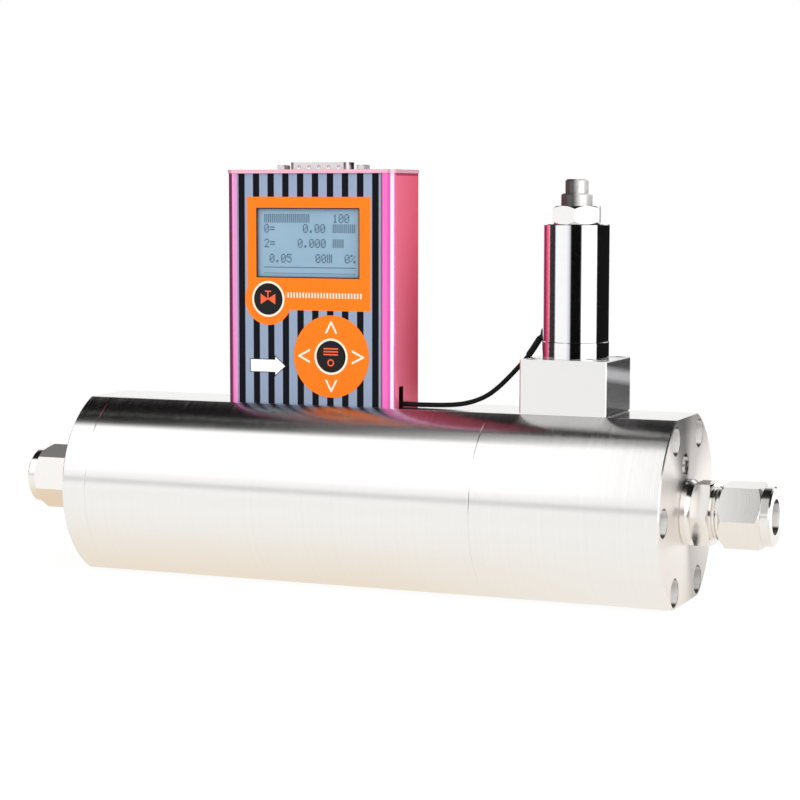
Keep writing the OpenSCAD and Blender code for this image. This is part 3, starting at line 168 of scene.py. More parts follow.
# %% Arithmetic on shader sockets
class Field:
    """A number, colour or vector on its way through a shader."""

    def __init__(self, tree, socket=None):
        self.tree = tree
        self.socket = socket

    def node(self, kind, settings=None, inputs=None, output=0):
        """Adds a node, sets it, then fills or links its inputs."""
        made = self.tree.nodes.new(kind)
        for key, value in (settings or {}).items():
            if key == "stops":
                elements = made.color_ramp.elements
                while len(elements) < len(value):
                    elements.new(0.5)
                for stop, (place, colour) in zip(elements, value):
                    stop.position = place
                    stop.color = colour
            else:
                setattr(made, key, value)
        for key, value in (inputs or {}).items():
            if isinstance(value, Field):
                self.tree.links.new(value.socket, made.inputs[key])
            else:
                made.inputs[key].default_value = value
        return Field(self.tree, made.outputs[output] if len(made.outputs) else None)

    def math(self, operation, *others, clamp=False):
        terms = dict(enumerate((self, *others)))
        return self.node("ShaderNodeMath", {"operation": operation, "use_clamp": clamp}, terms)

    def __add__(self, other):
        return self.math("ADD", other)

    def __sub__(self, other):
        return self.math("SUBTRACT", other)

    def __rsub__(self, other):
        return self.math("MULTIPLY_ADD", -1, other)

    def __mul__(self, other):
        return self.math("MULTIPLY", other)

    __radd__ = __add__
    __rmul__ = __mul__


# %% [markdown]
# Printed artwork and worn places are soft-edged masks in millimetres: a value is
# above or below an edge, or between two edges. The larger of two masks joins them,
# and their product is where they overlap. off_beat gives stripes and grids: it
# says how far a value is from the nearest multiple of a pitch, in pitches.

# %% Masks
def above(value, edge, soft=0.07):
    return value.math("MULTIPLY_ADD", 1 / soft, 0.5 - edge / soft, clamp=True)


def below(value, edge, soft=0.07):
    return value.math("MULTIPLY_ADD", -1 / soft, 0.5 + edge / soft, clamp=True)


def between(value, low, high, soft=0.07):
    return above(value, low, soft) * below(value, high, soft)


def box_mask(x, z, x0, x1, z0, z1):
    return between(x, x0, x1) * between(z, z0, z1)


def either(*masks):
    joined = masks[0]
    for mask in masks[1:]:
        joined = joined.math("MAXIMUM", mask)
    return joined


def distance(*offsets):
    total = offsets[0] * offsets[0]
    for offset in offsets[1:]:
        total = total + offset * offset
    return total.math("SQRT")


def size_of(value):
    return value.math("ABSOLUTE")


def off_beat(value, pitch):
    beats = value * (1 / pitch)
    return size_of(beats - beats.math("ROUND"))


# %% [markdown]
# Colours are laid over each other: mix() shows the second colour where the mask is
# 1. A ramp gives a colour for each value, such as a tone for each direction. Inks
# are written as 8-bit colours, and are turned into the linear colours of a shader.

# %% Colours
def grey(level, blue=1.0):
    return (level, level, level * blue, 1)


def ink(red, green, blue):
    parts = [c / 255 for c in (red, green, blue)]
    return (*[c / 12.92 if c <= 0.04045 else ((c + 0.055) / 1.055) ** 2.4 for c in parts], 1)


def mix(mask, first, second):
    return mask.node("ShaderNodeMix", {"data_type": "RGBA"}, {0: mask, 6: first, 7: second}, 2)


def ramp(value, low, high, stops):
    """Each stop is a value between low and high, and the colour that it gets."""
    span = high - low
    placed = [((place - low) / span, colour) for place, colour in stops]
    share = value.math("MULTIPLY_ADD", 1 / span, -low / span)
    return value.node("ShaderNodeValToRGB", {"stops": placed}, {0: share})


# %% [markdown]
# Every finish begins with the part's own coordinates in millimetres, and ends in
# one Principled shader. A pattern may be stretched, so that a noise becomes the
# long scratches of a brush or a mill. Tool marks are a noise along a single value.

# %% Start and end a finish
FINISHES = {}


def new_finish(name):
    material = bpy.data.materials.new(name)
    material.use_nodes = True
    material.node_tree.nodes.clear()
    FINISHES[name] = material
    print("finish:", name)
    return Field(material.node_tree)


def millimetres(start, centre=(0, 0, 0)):
    spot = start.node("ShaderNodeTexCoord", output="Object")
    moved = {"Vector": spot, "Scale": (1000, 1000, 1000), "Location": [-c for c in centre]}
    return start.node("ShaderNodeMapping", {}, moved)


def split(vector):
    parts = vector.node("ShaderNodeSeparateXYZ", {}, {0: vector})
    made = parts.socket.node
    return [Field(vector.tree, made.outputs[i]) for i in range(3)]


def noise(spot, scale, stretch=(1, 1, 1), detail=2.0):
    along = spot.node("ShaderNodeVectorMath", {"operation": "MULTIPLY"}, {0: spot, 1: stretch})
    return spot.node("ShaderNodeTexNoise", {}, {"Vector": along, "Scale": scale, "Detail": detail})


def tool_marks(value, scale, detail):
    marks = {"W": value, "Scale": scale, "Detail": detail}
    return value.node("ShaderNodeTexNoise", {"noise_dimensions": "1D"}, marks)


def bump(height, depth_mm):
    return height.node("ShaderNodeBump", {}, {"Height": height, "Distance": depth_mm * MM})


def end_finish(start, shader_inputs):
    shader = start.node("ShaderNodeBsdfPrincipled", {}, shader_inputs)
    start.node("ShaderNodeOutputMaterial", {}, {"Surface": shader})


# %% [markdown]
# A lathe tool leaves rings round the axis: fine ones that spread a reflection
# along the piece, and broader bands where the feed changed. Adding the distance
# along the axis to the distance from it gives rings on the round and on the end
# faces with one pattern. The look is kept in one object, so that a special piece
# can change its colour, roughness or relief before the shader is made.

# %% The look of turned metal
def turned_look(name, axis, centre, colour, roughness, ring_mm):
    look = SimpleNamespace(start=new_finish(name), metallic=1.0)
    spot = millimetres(look.start, centre)
    look.x, look.y, look.z = split(spot)
    straight, across = (look.x, (look.y, look.z)) if axis == "X" else (look.z, (look.x, look.y))
    look.reach = distance(*across)
    look.along = straight + look.reach
    look.relief = tool_marks(look.along, 1 / ring_mm, 1.0)
    broad = tool_marks(look.along, 0.32 / ring_mm**0.5, 3.0)
    smudge = noise(spot, 0.045, detail=4.0)
    dull = [c * 0.92 for c in colour[:3]] + [1]
    look.colour = mix(look.relief * 0.35 + broad * 0.35 + smudge * 0.3, dull, colour)
    look.roughness = roughness + look.relief * 0.05 + smudge * 0.07
    return look


def end_look(look, depth_mm):
    end_finish(
        look.start,
        {
            "Base Color": look.colour,
            "Metallic": look.metallic,
            "Roughness": look.roughness,
            "Normal": bump(look.relief, depth_mm),
        },
    )


# %% [markdown]
# Inside a hole light goes to and fro. Its wall gets painted light: a pale colour
# that is less mirror-like, with painted shade at the ends above and below, where it
# turns away. This helps the eye to read a hole as one, and it costs only a mask.

# %% Painted light and shade in holes
HOLE_PAINTED_LIGHT = (0.95, 0.93, 0.91, 1)
HOLE_PAINTED_SHADE = (0.03, 0.027, 0.025, 1)
PAINTED_SHADE_FROM = 4.2


def paint_hole_light_and_shade(look, hole, height):
    painted_walls = mix(above(size_of(height), PAINTED_SHADE_FROM, 0.8), HOLE_PAINTED_LIGHT, HOLE_PAINTED_SHADE)
    look.colour = mix(hole, look.colour, painted_walls)
    look.metallic = 1 - hole * 0.8


# %% [markdown]
# The flow body is turned from stainless bar and polished. High up on its round,
# beside the deck, the polish is coarser: hair-fine rings draw every reflection out
# along the flow. There the steel is painted darker, a painted shade that is
# strongest towards the inlet. The rings are finer than the eye can part, so the
# reflection is smeared evenly.

# %% Flow body: the crown beside the deck
HAIR_RINGS = 9
CROWN_PAINTED_SHADE = (0.2, 0.185, 0.18, 1)

body = turned_look("turned_steel", "X", FLOW_AXIS, (0.94, 0.93, 0.915, 1), 0.09, 0.3)
crown = above(body.z, 29, 2.5) * below(body.z, DECK_UP - 0.1, 0.05)
hair = tool_marks(body.along, HAIR_RINGS, 0.0)
body.relief = body.relief * 0.35 + hair * (crown * 2.6 + 0.25)
body.roughness = body.roughness + crown * 0.03
# Painted shade: the crown's colour is darkened, most of all towards the inlet.
shade = crown * (below(body.x, 15, 55) * 0.3 + 0.55)
body.colour = mix(shade, body.colour, CROWN_PAINTED_SHADE)

# %% [markdown]
# A faced end shows a fan of light and dark sectors, because its rings mirror the
# studio in one direction only. Here the fan is a painted reflection in the colour:
# a ramp over the angle round the axis, measured from +Y towards +Z, and each stop
# is an angle with its tone.

# %% Flow body: the painted reflection on the end faces
PAINTED_REFLECTION_FAN = [
    (-180, 1.0), (-104, 0.98), (-90, 0.9), (-74, 0.58), (-56, 0.66), (-30, 0.8),
    (0, 0.93), (25, 0.9), (40, 0.78), (56, 0.6), (78, 0.56), (92, 0.27),
    (101, 0.14), (114, 0.2), (122, 0.4), (130, 0.7), (138, 1.0),
]
DEGREES = 180 / math.pi

tones = [(angle, (tone, tone * 0.96, tone * 0.93, 1)) for angle, tone in PAINTED_REFLECTION_FAN]
# Painted reflection: the fan's tones take the place of the end faces' colour.
fan = ramp(body.z.math("ARCTAN2", body.y) * DEGREES, -180, 180, tones)
from_middle = size_of(body.x - BODY_MIDDLE)
end_face = above(from_middle, BODY_HALF - 0.1, 0.1)
body.colour = mix(end_face, body.colour, fan)
body.roughness = body.roughness + end_face * 0.28
print("tones in the fan:", len(PAINTED_REFLECTION_FAN))

# %% [markdown]
# The six counterbores of each end sit on one circle. Rounding the angle round the
# axis to the nearest sixth of a turn finds the bore that a point belongs to, and
# with it the height above that bore's middle.

# %% Flow body: the counterbores
SCREW_CIRCLE = 31.3
BORE_DEPTH = 14.2

sixth = (body.z.math("ARCTAN2", body.y) * (3 / math.pi)).math("ROUND") * (math.pi / 3)
bore_height = body.z - sixth.math("SINE") * SCREW_CIRCLE
within = between(from_middle, BODY_HALF - BORE_DEPTH, BODY_HALF - 0.2, 0.1)
bores = within * between(body.reach, 20, BODY_RADIUS - 0.3, 0.1) * below(body.z, DECK_UP - 0.9)
# The counterbore walls get painted light, with painted shade at their ends.
paint_hole_light_and_shade(body, bores, bore_height)
end_look(body, 0.012)
print("body nodes:", len(body.start.tree.nodes))

# %% [markdown]
# The other turned pieces differ in polish. Pieces on the flow axis have a bore
# along it, whose walls get painted light and painted shade. The coil housing is
# plated like a mirror, so it has hardly any rings.

# %% Fittings, screws and housing
ON_FLOW_AXIS = [
    ("fitting_steel", (0.93, 0.905, 0.875, 1), 0.07, 0.5, 0.0008),
    ("screw_steel", (0.84, 0.82, 0.80, 1), 0.24, 0.2, 0.004),
    ("inner_steel", (0.80, 0.79, 0.77, 1), 0.22, 0.3, 0.004),
    ("standoff_brass", (0.80, 0.62, 0.30, 1), 0.25, 0.3, 0.003),
]
ON_VALVE_AXIS = [
    ("housing_chrome", (0.95, 0.95, 0.96, 1), 0.012, 1.5, 0.0004),
    ("nut_steel", (0.94, 0.93, 0.915, 1), 0.06, 0.5, 0.003),
    ("spring_steel", (0.66, 0.66, 0.67, 1), 0.2, 0.4, 0.002),
]
BORE_REACH = 6.5

for name, colour, roughness, ring_mm, depth_mm in ON_FLOW_AXIS:
    look = turned_look(name, "X", FLOW_AXIS, colour, roughness, ring_mm)
    # The bore walls get painted light, with painted shade at their ends.
    paint_hole_light_and_shade(look, below(look.reach, BORE_REACH, 0.1), look.z)
    end_look(look, depth_mm)
for name, colour, roughness, ring_mm, depth_mm in ON_VALVE_AXIS:
    end_look(turned_look(name, "Z", VALVE_AXIS, colour, roughness, ring_mm), depth_mm)

# %% [markdown]
# The valve's core is soft magnetic steel. It is duller than stainless steel. Its
# left side, as the camera sees it, is painted dark, as painted shade.

# %% Core of the valve
core = turned_look("magnet_steel", "Z", VALVE_AXIS, (0.84, 0.83, 0.82, 1), 0.26, 0.35)
# Painted shade on the core's left side.
painted_dark_side = below(core.x * 0.92 + core.y * 0.38, -0.9, 1.4)
core.colour = mix(painted_dark_side, core.colour, (0.10, 0.095, 0.09, 1))
core.metallic = 0.6
end_look(core, 0.004)
print("turned finishes:", len(FINISHES))

# %% [markdown]
# Milled and drawn pieces are brushed in one direction. Their scratches are a noise
# that is stretched along that direction: a small number in the stretch means long
# scratches.

# %% Brushed block, feet and plug
def brushed_look(name, colour, roughness, stretch):
    look = SimpleNamespace(start=new_finish(name), metallic=1.0)
    look.spot = millimetres(look.start)
    look.relief = noise(look.spot, 1.0, stretch, 3.0)
    cloud = noise(look.spot, 0.09, detail=3.0)
    dull = [c * 0.88 for c in colour[:3]] + [1]
    look.colour = mix(look.relief * 0.6 + cloud * 0.4, dull, colour)
    look.roughness = roughness + look.relief * 0.10 + cloud * 0.06
    return look


end_look(brushed_look("foot_aluminium", (0.80, 0.81, 0.82, 1), 0.25, (0.05, 3, 3)), 0.006)
end_look(brushed_look("plug_tin", (0.86, 0.84, 0.82, 1), 0.16, (0.4, 3, 3)), 0.003)
end_look(brushed_look("pin_gold", (0.83, 0.64, 0.28, 1), 0.18, (3, 3, 0.3)), 0.002)

# %% [markdown]
# The valve block is brushed along the flow. Its end towards the outlet has a
# painted look: painted shade makes it dark, with one slanted band of painted
# highlight and a weak one below, and streaks of noise break both up.

# %% Valve block with its painted end
END_PAINTED_SHADE = (0.05, 0.048, 0.05, 1)
END_PAINTED_HIGHLIGHT = (0.86, 0.85, 0.87, 1)

block = brushed_look("block_steel", (0.95, 0.945, 0.94, 1), 0.12, (0.05, 0.05, 5))
x, y, z = split(block.spot)
outlet_end = above(x, BLOCK_END - 0.15, 0.1)
slant = z + y * 0.12
streak = noise(block.spot, 0.45, (1, 0.25, 1.6), 2.0)
# Bands of painted highlight over painted shade on the outlet end.
upper_painted_highlight = between(slant, DECK + 11.8, DECK + 16.1, 2.4) * 0.6
lower_painted_highlight = between(slant, DECK + 2.5, DECK + 11.5, 3) * 0.06
tone = mix(upper_painted_highlight + lower_painted_highlight + streak * 0.1, END_PAINTED_SHADE, END_PAINTED_HIGHLIGHT)
block.colour = mix(outlet_end, block.colour, tone)
block.metallic = 1.0 - outlet_end * 0.6
end_look(block, 0.006)
print("metal finishes:", len(FINISHES))

# %% [markdown]
# The flow element's inlet screen is sintered from steel powder, so it is dull and
# grainy. The cells of a Voronoi pattern make its grains.

# %% Sintered steel
start = new_finish("sintered_steel")
spot = millimetres(start)
grains = spot.node("ShaderNodeTexVoronoi", {}, {"Vector": spot, "Scale": 5.0})
end_finish(
    start,
    {
        "Base Color": mix(grains, (0.50, 0.49, 0.46, 1), (0.30, 0.29, 0.28, 1)),
        "Metallic": 1.0,
        "Roughness": 0.45 + grains * 0.2,
        "Normal": bump(grains, 0.08),
    },
)

# %% [markdown]
# The coil is wound from enamelled copper wire in close turns. A sine along Z makes
# the turns, and a little of X in it gives them their slope. Its dark part is painted
# shade in the creases between the wires.

# %% Copper winding
start = new_finish("copper_winding")
spot = millimetres(start)
x, _, z = split(spot)
# The dark troughs of the turns are painted shade between the wires.
turns = (z * 18.0 + x * 2.0).math("SINE") * 0.5 + 0.5
end_finish(
    start,
    {
        "Base Color": mix(turns, (0.34, 0.10, 0.04, 1), (0.80, 0.36, 0.16, 1)),
        "Metallic": 0.9,
        "Roughness": 0.3 + noise(spot, 0.5) * 0.1,
        "Normal": bump(turns, 0.06),
    },
)

# %% [markdown]
# Plastics and rubber are not metallic: their colour is the colour of the body, and
# a fine spark-eroded mould grain breaks up the highlight.

# %% Moulded plastics and rubber
def moulded_finish(name, colour, lighter, roughness, grain_mm, depth_mm, gloss=0.4):
    start = new_finish(name)
    spot = millimetres(start)
    grain = noise(spot, 1 / grain_mm, detail=3.0)
    cloud = noise(spot, 0.12, detail=2.0)
    end_finish(
        start,
        {
            "Base Color": mix(cloud * 0.7 + grain * 0.3, colour, lighter),
            "Roughness": roughness + grain * 0.12,
            "Specular IOR Level": gloss,
            "Normal": bump(grain, depth_mm),
        },
    )


moulded_finish("seal_rubber", ink(18, 18, 19), ink(34, 34, 35), 0.5, 0.3, 0.02)
moulded_finish("lead_black", ink(5, 5, 5), ink(12, 12, 12), 0.5, 0.25, 0.01, 0.2)
moulded_finish("bobbin_plastic", ink(225, 222, 208), ink(238, 236, 224), 0.4, 0.3, 0.01)
moulded_finish("switch_black", ink(20, 20, 22), ink(36, 36, 38), 0.42, 0.2, 0.01)
moulded_finish("key_white", ink(228, 228, 226), ink(240, 240, 238), 0.4, 0.3, 0.01)
moulded_finish("board_green", ink(16, 74, 44), ink(24, 96, 58), 0.35, 1.2, 0.02)
print("plastics and rubber done:", len(FINISHES), "finishes so far")

# %% [markdown]
# The case is extruded aluminium, bead blasted and dyed magenta before the anodic
# film is sealed. The dye sits in a clear oxide, so the colour is that of a metal
# and deepens where the film is thicker. Faint lines of the die run up the case.

# %% Anodised case: die lines, blasting and dye
CASE_CORNER = CASE_SIDE + CASE_BACK

start = new_finish("case_anodised")
spot = millimetres(start)
x, y, z = split(spot)
die_lines = noise(spot, 1.0, (1.6, 1.6, 0.02), 3.0)
blast = noise(spot, 5.0, detail=2.0)
cloud = noise(spot, 0.05, detail=3.0)
dye = die_lines * 0.35 + cloud * 0.4 + blast * 0.25
print("case corner, half width and half depth together:", CASE_CORNER, "mm")

# %% [markdown]
# The film of the front is thin and pink. Up the inlet corner a painted highlight
# makes it paler. It is greyer on the flat beside the overlay, and the very corner is
# painted dark, as painted shade.

# %% Anodised case: the front
pink_front_and_painted_light = mix(dye, (0.88, 0.14, 0.50, 1), (1.0, 0.19, 0.62, 1))
# Painted highlight up the inlet corner.
painted_corner_highlight = above(z, 112, 90) * below(x, 2.9 - CASE_SIDE, 1.6)
flat = below(y, 0.3 - CASE_BACK, 0.2) * above(x, 3.6 - CASE_SIDE, 1.2) * below(x, 0)
# Painted shade on the very corner.
painted_dark_corner = below(x, 2.6 - CASE_SIDE, 0.3) * below(y, 3.1 - CASE_BACK, 0.5)
pink_front_and_painted_light = mix(painted_corner_highlight, pink_front_and_painted_light, (1.0, 0.66, 0.95, 1))
pink_front_and_painted_light = mix(flat * 0.6, pink_front_and_painted_light, (0.60, 0.46, 0.68, 1))
pink_front_and_painted_light = mix(painted_dark_corner, pink_front_and_painted_light, (0.22, 0.05, 0.12, 1))
print("front of the case at y =", -CASE_BACK, "mm")

# %% [markdown]
# The film of the sides and the back is thick and red. Painted shade deepens it
# towards the back, painted light makes it lighter towards the top, and a painted
# shadow line runs under the lid.

# %% Anodised case: the sides
# Painted shadow under the lid; the sides below get painted shade and light.
painted_lid_shadow = between(z, CASE_TOP - 0.9, CASE_TOP - 0.1, 0.3)
red_sides_and_painted_shade = mix(above(y, 0, 24), (1.0, 0.22, 0.34, 1), (0.78, 0.05, 0.10, 1))
red_sides_and_painted_shade = mix(dye * 0.3 + above(z, 120, 110) * 0.5, red_sides_and_painted_shade, (1.0, 0.20, 0.32, 1))
red_sides_and_painted_shade = mix(painted_lid_shadow * 0.8, red_sides_and_painted_shade, (0.30, 0.04, 0.07, 1))
film = mix(above(y, 2.1 - CASE_BACK, 1.2), pink_front_and_painted_light, red_sides_and_painted_shade)
print("lid of the case at z =", CASE_TOP, "mm")

# %% [markdown]
# A painted highlight puts a bright line on the edge between front and side, and
# the lid is paler. Round the notch for the lead the inside is painted dark, as
# painted shade, because hardly any light gets in.

# %% Anodised case: edge, lid and notch
# Painted highlight on the edge between front and side.
edge = above(x - y, CASE_CORNER - 1.9, 0.06) * below(z, CASE_TOP - 0.1)
lid = above(z, CASE_TOP + 0.05)
inside = between(x, 18, CASE_SIDE - 0.1, 0.05) * between(y, -10, CASE_BACK - 0.2, 0.05)
in_corner = below(size_of(x) + size_of(y), CASE_CORNER - 2.8)
# Painted shade inside the notch for the lead.
notch = inside * in_corner * below(z, DECK + 9.5, 0.5)
film = mix(edge, film, (1.0, 0.70, 0.88, 1))
film = mix(lid, film, (0.84, 0.46, 0.56, 1))
film = mix(notch, film, (0.02, 0.006, 0.01, 1))
end_finish(
    start,
    {
        "Base Color": film,
        "Metallic": 0.4 + edge * 0.5,
        "Roughness": 0.16 + blast * 0.06 + cloud * 0.05 - edge * 0.1,
        "Normal": bump(blast * 0.5 + die_lines, 0.006),
    },
)
print("case nodes:", len(start.tree.nodes))

# %% [markdown]
# The overlay is a printed polyester film. Upright stripes cover it, an orange
# panel frames the display and the valve key, and an orange disc carries the
# arrows. Each form is a mask in millimetres, with its heights from the flow axis,
# so the print also lands on the raised keys.

# %% Overlay print: the plane of the print and its stripes
STRIPE_PITCH = 6.163
STRIPE_HALF = 1.34
STRIPE_SHIFT = 28.28

start = new_finish("overlay_film")
spot = millimetres(start, FLOW_AXIS)
x, _, z = split(spot)
stripes = below(off_beat(x + STRIPE_SHIFT, STRIPE_PITCH) * STRIPE_PITCH, STRIPE_HALF)
print("stripes on the overlay, pitch:", STRIPE_PITCH, "mm")

# %% [markdown]
# Both round keys are printed black inside a white rim. The panel's lower corner
# swells into a disc round the valve key, and the larger disc has the middle key in
# its centre.

# %% Overlay print: panel, discs and round keys
PANEL = (-26.0, 25.3, 70.3, 113.05)
VALVE_KEY, VALVE_DISC = (-17.05, 74.35), 9.9
OK_KEY, ARROW_DISC = (9.1, 53.1), 15.55
KEY_RADIUS, RIM_RADIUS = 6.05, 6.85


def circle(place, radius, inner=None):
    reach = distance(x - place[0], z - place[1])
    return below(reach, radius) if inner is None else between(reach, inner, radius)


panel = box_mask(x, z, *PANEL)
orange_area = either(panel, circle(VALVE_KEY, VALVE_DISC), circle(OK_KEY, ARROW_DISC))
black_keys = either(*[circle(key, KEY_RADIUS) for key in (VALVE_KEY, OK_KEY)])
white_rims = either(*[circle(key, RIM_RADIUS, KEY_RADIUS) for key in (VALVE_KEY, OK_KEY)])
print("panel:", round(PANEL[1] - PANEL[0], 2), "by", round(PANEL[3] - PANEL[2], 2), "mm")

# %% [markdown]
# The arrows are chevrons: two strokes that meet at a tip. Mirroring the offset
# from the middle line with an absolute value means that one stroke is enough.

# %% Overlay print: chevrons
STROKE_HALF = 0.36


def chevron(side, ahead, half_width, length):
    """side is the offset across the arrow, ahead the distance behind its tip."""
    slant = math.hypot(half_width, length)
    to_stroke = size_of(size_of(side) * (length / slant) - ahead * (half_width / slant))
    return below(to_stroke, STROKE_HALF) * between(ahead, -0.3, length)


across, upward = x - OK_KEY[0], z - OK_KEY[1]
chevrons = either(
    chevron(across, 13.0 - upward, 2.2, 4.3),
    chevron(across, 13.1 + upward, 2.2, 4.3),
    chevron(upward, 13.3 + across, 2.3, 4.5),
    chevron(upward, 13.2 - across, 2.3, 4.7),
)
print("strokes of the chevrons:", 2 * STROKE_HALF, "mm wide")

# %% [markdown]
# A white arrow shows which way the gas flows. Its dark outline is the same arrow,
# grown a little on every side and printed first.

# %% Overlay print: flow arrow
ARROW_TAIL, ARROW_NECK, ARROW_TIP = -24.7, -14.2, -10.2
ARROW_LEVEL, SHAFT_HALF = 48.9, 2.3


def flow_arrow(grow):
    half = SHAFT_HALF + grow
    shaft = box_mask(x, z, ARROW_TAIL - grow, ARROW_NECK, ARROW_LEVEL - half, ARROW_LEVEL + half)
    from_tip = size_of(z - ARROW_LEVEL) + (x - ARROW_TIP) * 0.86
    return either(shaft, above(x, ARROW_NECK - 0.1 - grow) * below(from_tip, grow * 1.4))


print("flow arrow:", ARROW_TIP - ARROW_TAIL, "mm long")


# %% [markdown]
# The valve key carries the valve symbol, two triangles with their tips together
# and a handle. The middle key has three menu bars over a ring. A row of ticks
# stands where such a head has a line of small print.

# %% Overlay print: symbols
TICK_ROW, TICK_PITCH = (-9.8, 22.0, 75.0, 77.0), 1.25
# A dark frame round the display window is painted shade.
WINDOW_PAINTED_SHADE = (-22.15, 20.75, 82.45, 108.95)

side, rise = x - VALVE_KEY[0], z - VALVE_KEY[1]
bow = below(size_of(rise) - size_of(side) * 0.62, 0.1) * below(size_of(side), 3.1)
handle = either(box_mask(side, rise, -0.25, 0.25, 0, 2.9), box_mask(side, rise, -1.3, 1.3, 2.7, 3.2))
menu_bars = either(*[box_mask(across, upward, -3.0, 3.0, h, h + 0.55) for h in (0.5, 1.6, 2.7)])
menu_ring = between(distance(across, upward + 2.3), 0.85, 1.4)
symbols = either(bow, handle, menu_bars, menu_ring)
ticks = box_mask(x, z, *TICK_ROW) * below(off_beat(x, TICK_PITCH), 0.24, 0.08)
painted_window_shade = box_mask(x, z, *WINDOW_PAINTED_SHADE)
print("ticks in the row:", round((TICK_ROW[1] - TICK_ROW[0]) / TICK_PITCH))

# %% [markdown]
# The inks, with two lines of painted shade among them, are laid in the order of a
# screen printer, from the ground up. The film itself is a velvet grain with hardly
# any gloss, and only the keys are lacquered.

# %% Overlay print: inks and film
overlay_low, overlay_high = box_mm("front_overlay")

film = mix(stripes, ink(144, 158, 182), ink(8, 9, 18))
film = mix(orange_area, film, ink(255, 122, 26))
film = mix(black_keys, film, ink(14, 14, 17))
film = mix(either(white_rims, chevrons), film, ink(255, 232, 212))
film = mix(ticks, film, ink(255, 226, 206))
# Painted shade round the display window.
film = mix(painted_window_shade, film, ink(70, 44, 46))
# Painted shade along the overlay's right edge.
film = mix(above(x, overlay_high[0] - 0.65), film, ink(150, 78, 112))
film = mix(flow_arrow(0.3), film, ink(22, 24, 32))
film = mix(flow_arrow(0), film, ink(250, 250, 250))
film = mix(symbols, film, ink(238, 96, 56))
velvet = noise(spot, 7.0, detail=2.0)
wear = noise(spot, 0.15, detail=4.0)
worn = mix(velvet * 0.003 + wear * 0.002, film, ink(205, 205, 210))
end_finish(
    start,
    {
        "Base Color": worn,
        "Roughness": 0.40 + velvet * 0.1 - black_keys * 0.18,
        "Specular IOR Level": 0.1,
        "Normal": bump(velvet, 0.003),
        "Coat Weight": black_keys * 0.25,
        "Coat Roughness": 0.08,
    },
)
print("overlay nodes:", len(start.tree.nodes))

# %% [markdown]
# The display is a grey-blue liquid crystal panel. Seen close, its cells make a
# fine grid, and the polariser is a little uneven. Dark cells are a deeper tone of
# the same blue, because the light also comes back through them.

# %% Liquid crystal glass and its dark cells
CELL_X, CELL_Z = 0.40, 0.47

start = new_finish("lcd_glass")
spot = millimetres(start)
x, _, z = split(spot)
grid = either(above(off_beat(x, CELL_X), 0.44, 0.1), above(off_beat(z, CELL_Z), 0.44, 0.1))
cloud = noise(spot, 0.06, detail=2.0)
pane = mix(cloud, ink(134, 164, 186), ink(146, 174, 194))
end_finish(
    start,
    {
        "Base Color": mix(grid * 0.10, pane, ink(110, 135, 155)),
        "Roughness": 0.32 + cloud * 0.08,
        "Specular IOR Level": 0.2,
        "Coat Weight": 0.06 + cloud * 0.06,
        "Coat Roughness": 0.04,
    },
)

start = new_finish("lcd_ink")
cloud = noise(millimetres(start), 0.3)
end_finish(start, {"Base Color": mix(cloud, ink(70, 94, 114), ink(84, 108, 128)), "Roughness": 0.4})
print("finishes:", len(FINISHES))

# %% [markdown]
# Each CAD part names the material it wants, and gets the finish of that name.

# %% Paint the CAD parts
painted = {}
for part in nodes.values():
    for holder in part.material_slots:
        wanted = holder.material.name
        holder.material = FINISHES[wanted]
        painted[wanted] = painted.get(wanted, 0) + 1
lead.data.materials.append(FINISHES["lead_black"])
print("painted:", painted)

# %% [markdown]
# New pieces are built with bmesh, then made an object that stays at the origin,
# rides on its CAD body and takes a finish. One helper does these last steps.

# %% Turn a bmesh into a piece
def make_piece(bm, name, body, slot, finish=None, smooth=False):
    bmesh.ops.remove_doubles(bm, verts=bm.verts, dist=0.0005 * MM)
    bmesh.ops.recalc_face_normals(bm, faces=bm.faces)
    for face in bm.faces:
        face.smooth = smooth
    mesh = bpy.data.meshes.new(name)
    bm.to_mesh(mesh)
    bm.free()
    mesh.materials.append(FINISHES[finish or slot])
    piece = bpy.data.objects.new(name, mesh)
    bpy.context.scene.collection.objects.link(piece)
    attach(piece, body)
    print(name, "faces:", len(mesh.polygons))


# %% [markdown]
# Shrink tubing stiffens the upper end of the lead. It is a row of rings along the
# lead, each square to the way the lead runs there, with walls bridged between them.

# %% Sleeve of the valve lead
SLEEVE = [(83.3, -0.43, 20.4), (85.15, -0.2, 23.1), (87.1, 0, 26.2), (87.8, 0, 27.05)]
SLEEVE_RADIUS = 1.2
LAST = len(SLEEVE) - 1

bm = bmesh.new()
rings = []
for i, place in enumerate(SLEEVE):
    ahead = Vector(SLEEVE[min(i + 1, LAST)]) - Vector(SLEEVE[max(i - 1, 0)])
    pose = Matrix.Translation(above_deck(*place)) @ ahead.to_track_quat("Z", "Y").to_matrix().to_4x4()
    ring = bmesh.ops.create_circle(
        bm, cap_ends=i in (0, LAST), segments=24, radius=SLEEVE_RADIUS * MM, matrix=pose
    )
    rings.append({edge for vert in ring["verts"] for edge in vert.link_edges})
for first, second in zip(rings, rings[1:]):
    bmesh.ops.bridge_loops(bm, edges=list(first | second))
rims = [edge for edge in rings[0] | rings[LAST] if edge.is_valid]
bmesh.ops.bevel(bm, geom=rims, offset=0.25 * MM, segments=3, profile=0.5, affect="EDGES", material=-1)
make_piece(bm, "valve_lead_sleeve", "controller", "lead_black", smooth=True)

# %% [markdown]
# Between the fitting's hexagon and the nut the thread shows. A small triangle is
# carried round the axis and forward with spin, which makes the helical ridge, and
# its two ends are closed. Each ridge starts a little behind the rear of its nut.

# %% Threads of the tube fittings
THREAD_TURNS, THREAD_PITCH = 2, 1.05
THREAD_PROFILE = [(0, 9.42), (0.42, 9.95), (0.84, 9.42)]
STEPS_PER_TURN = 48
BEHIND_NUT = 3.28


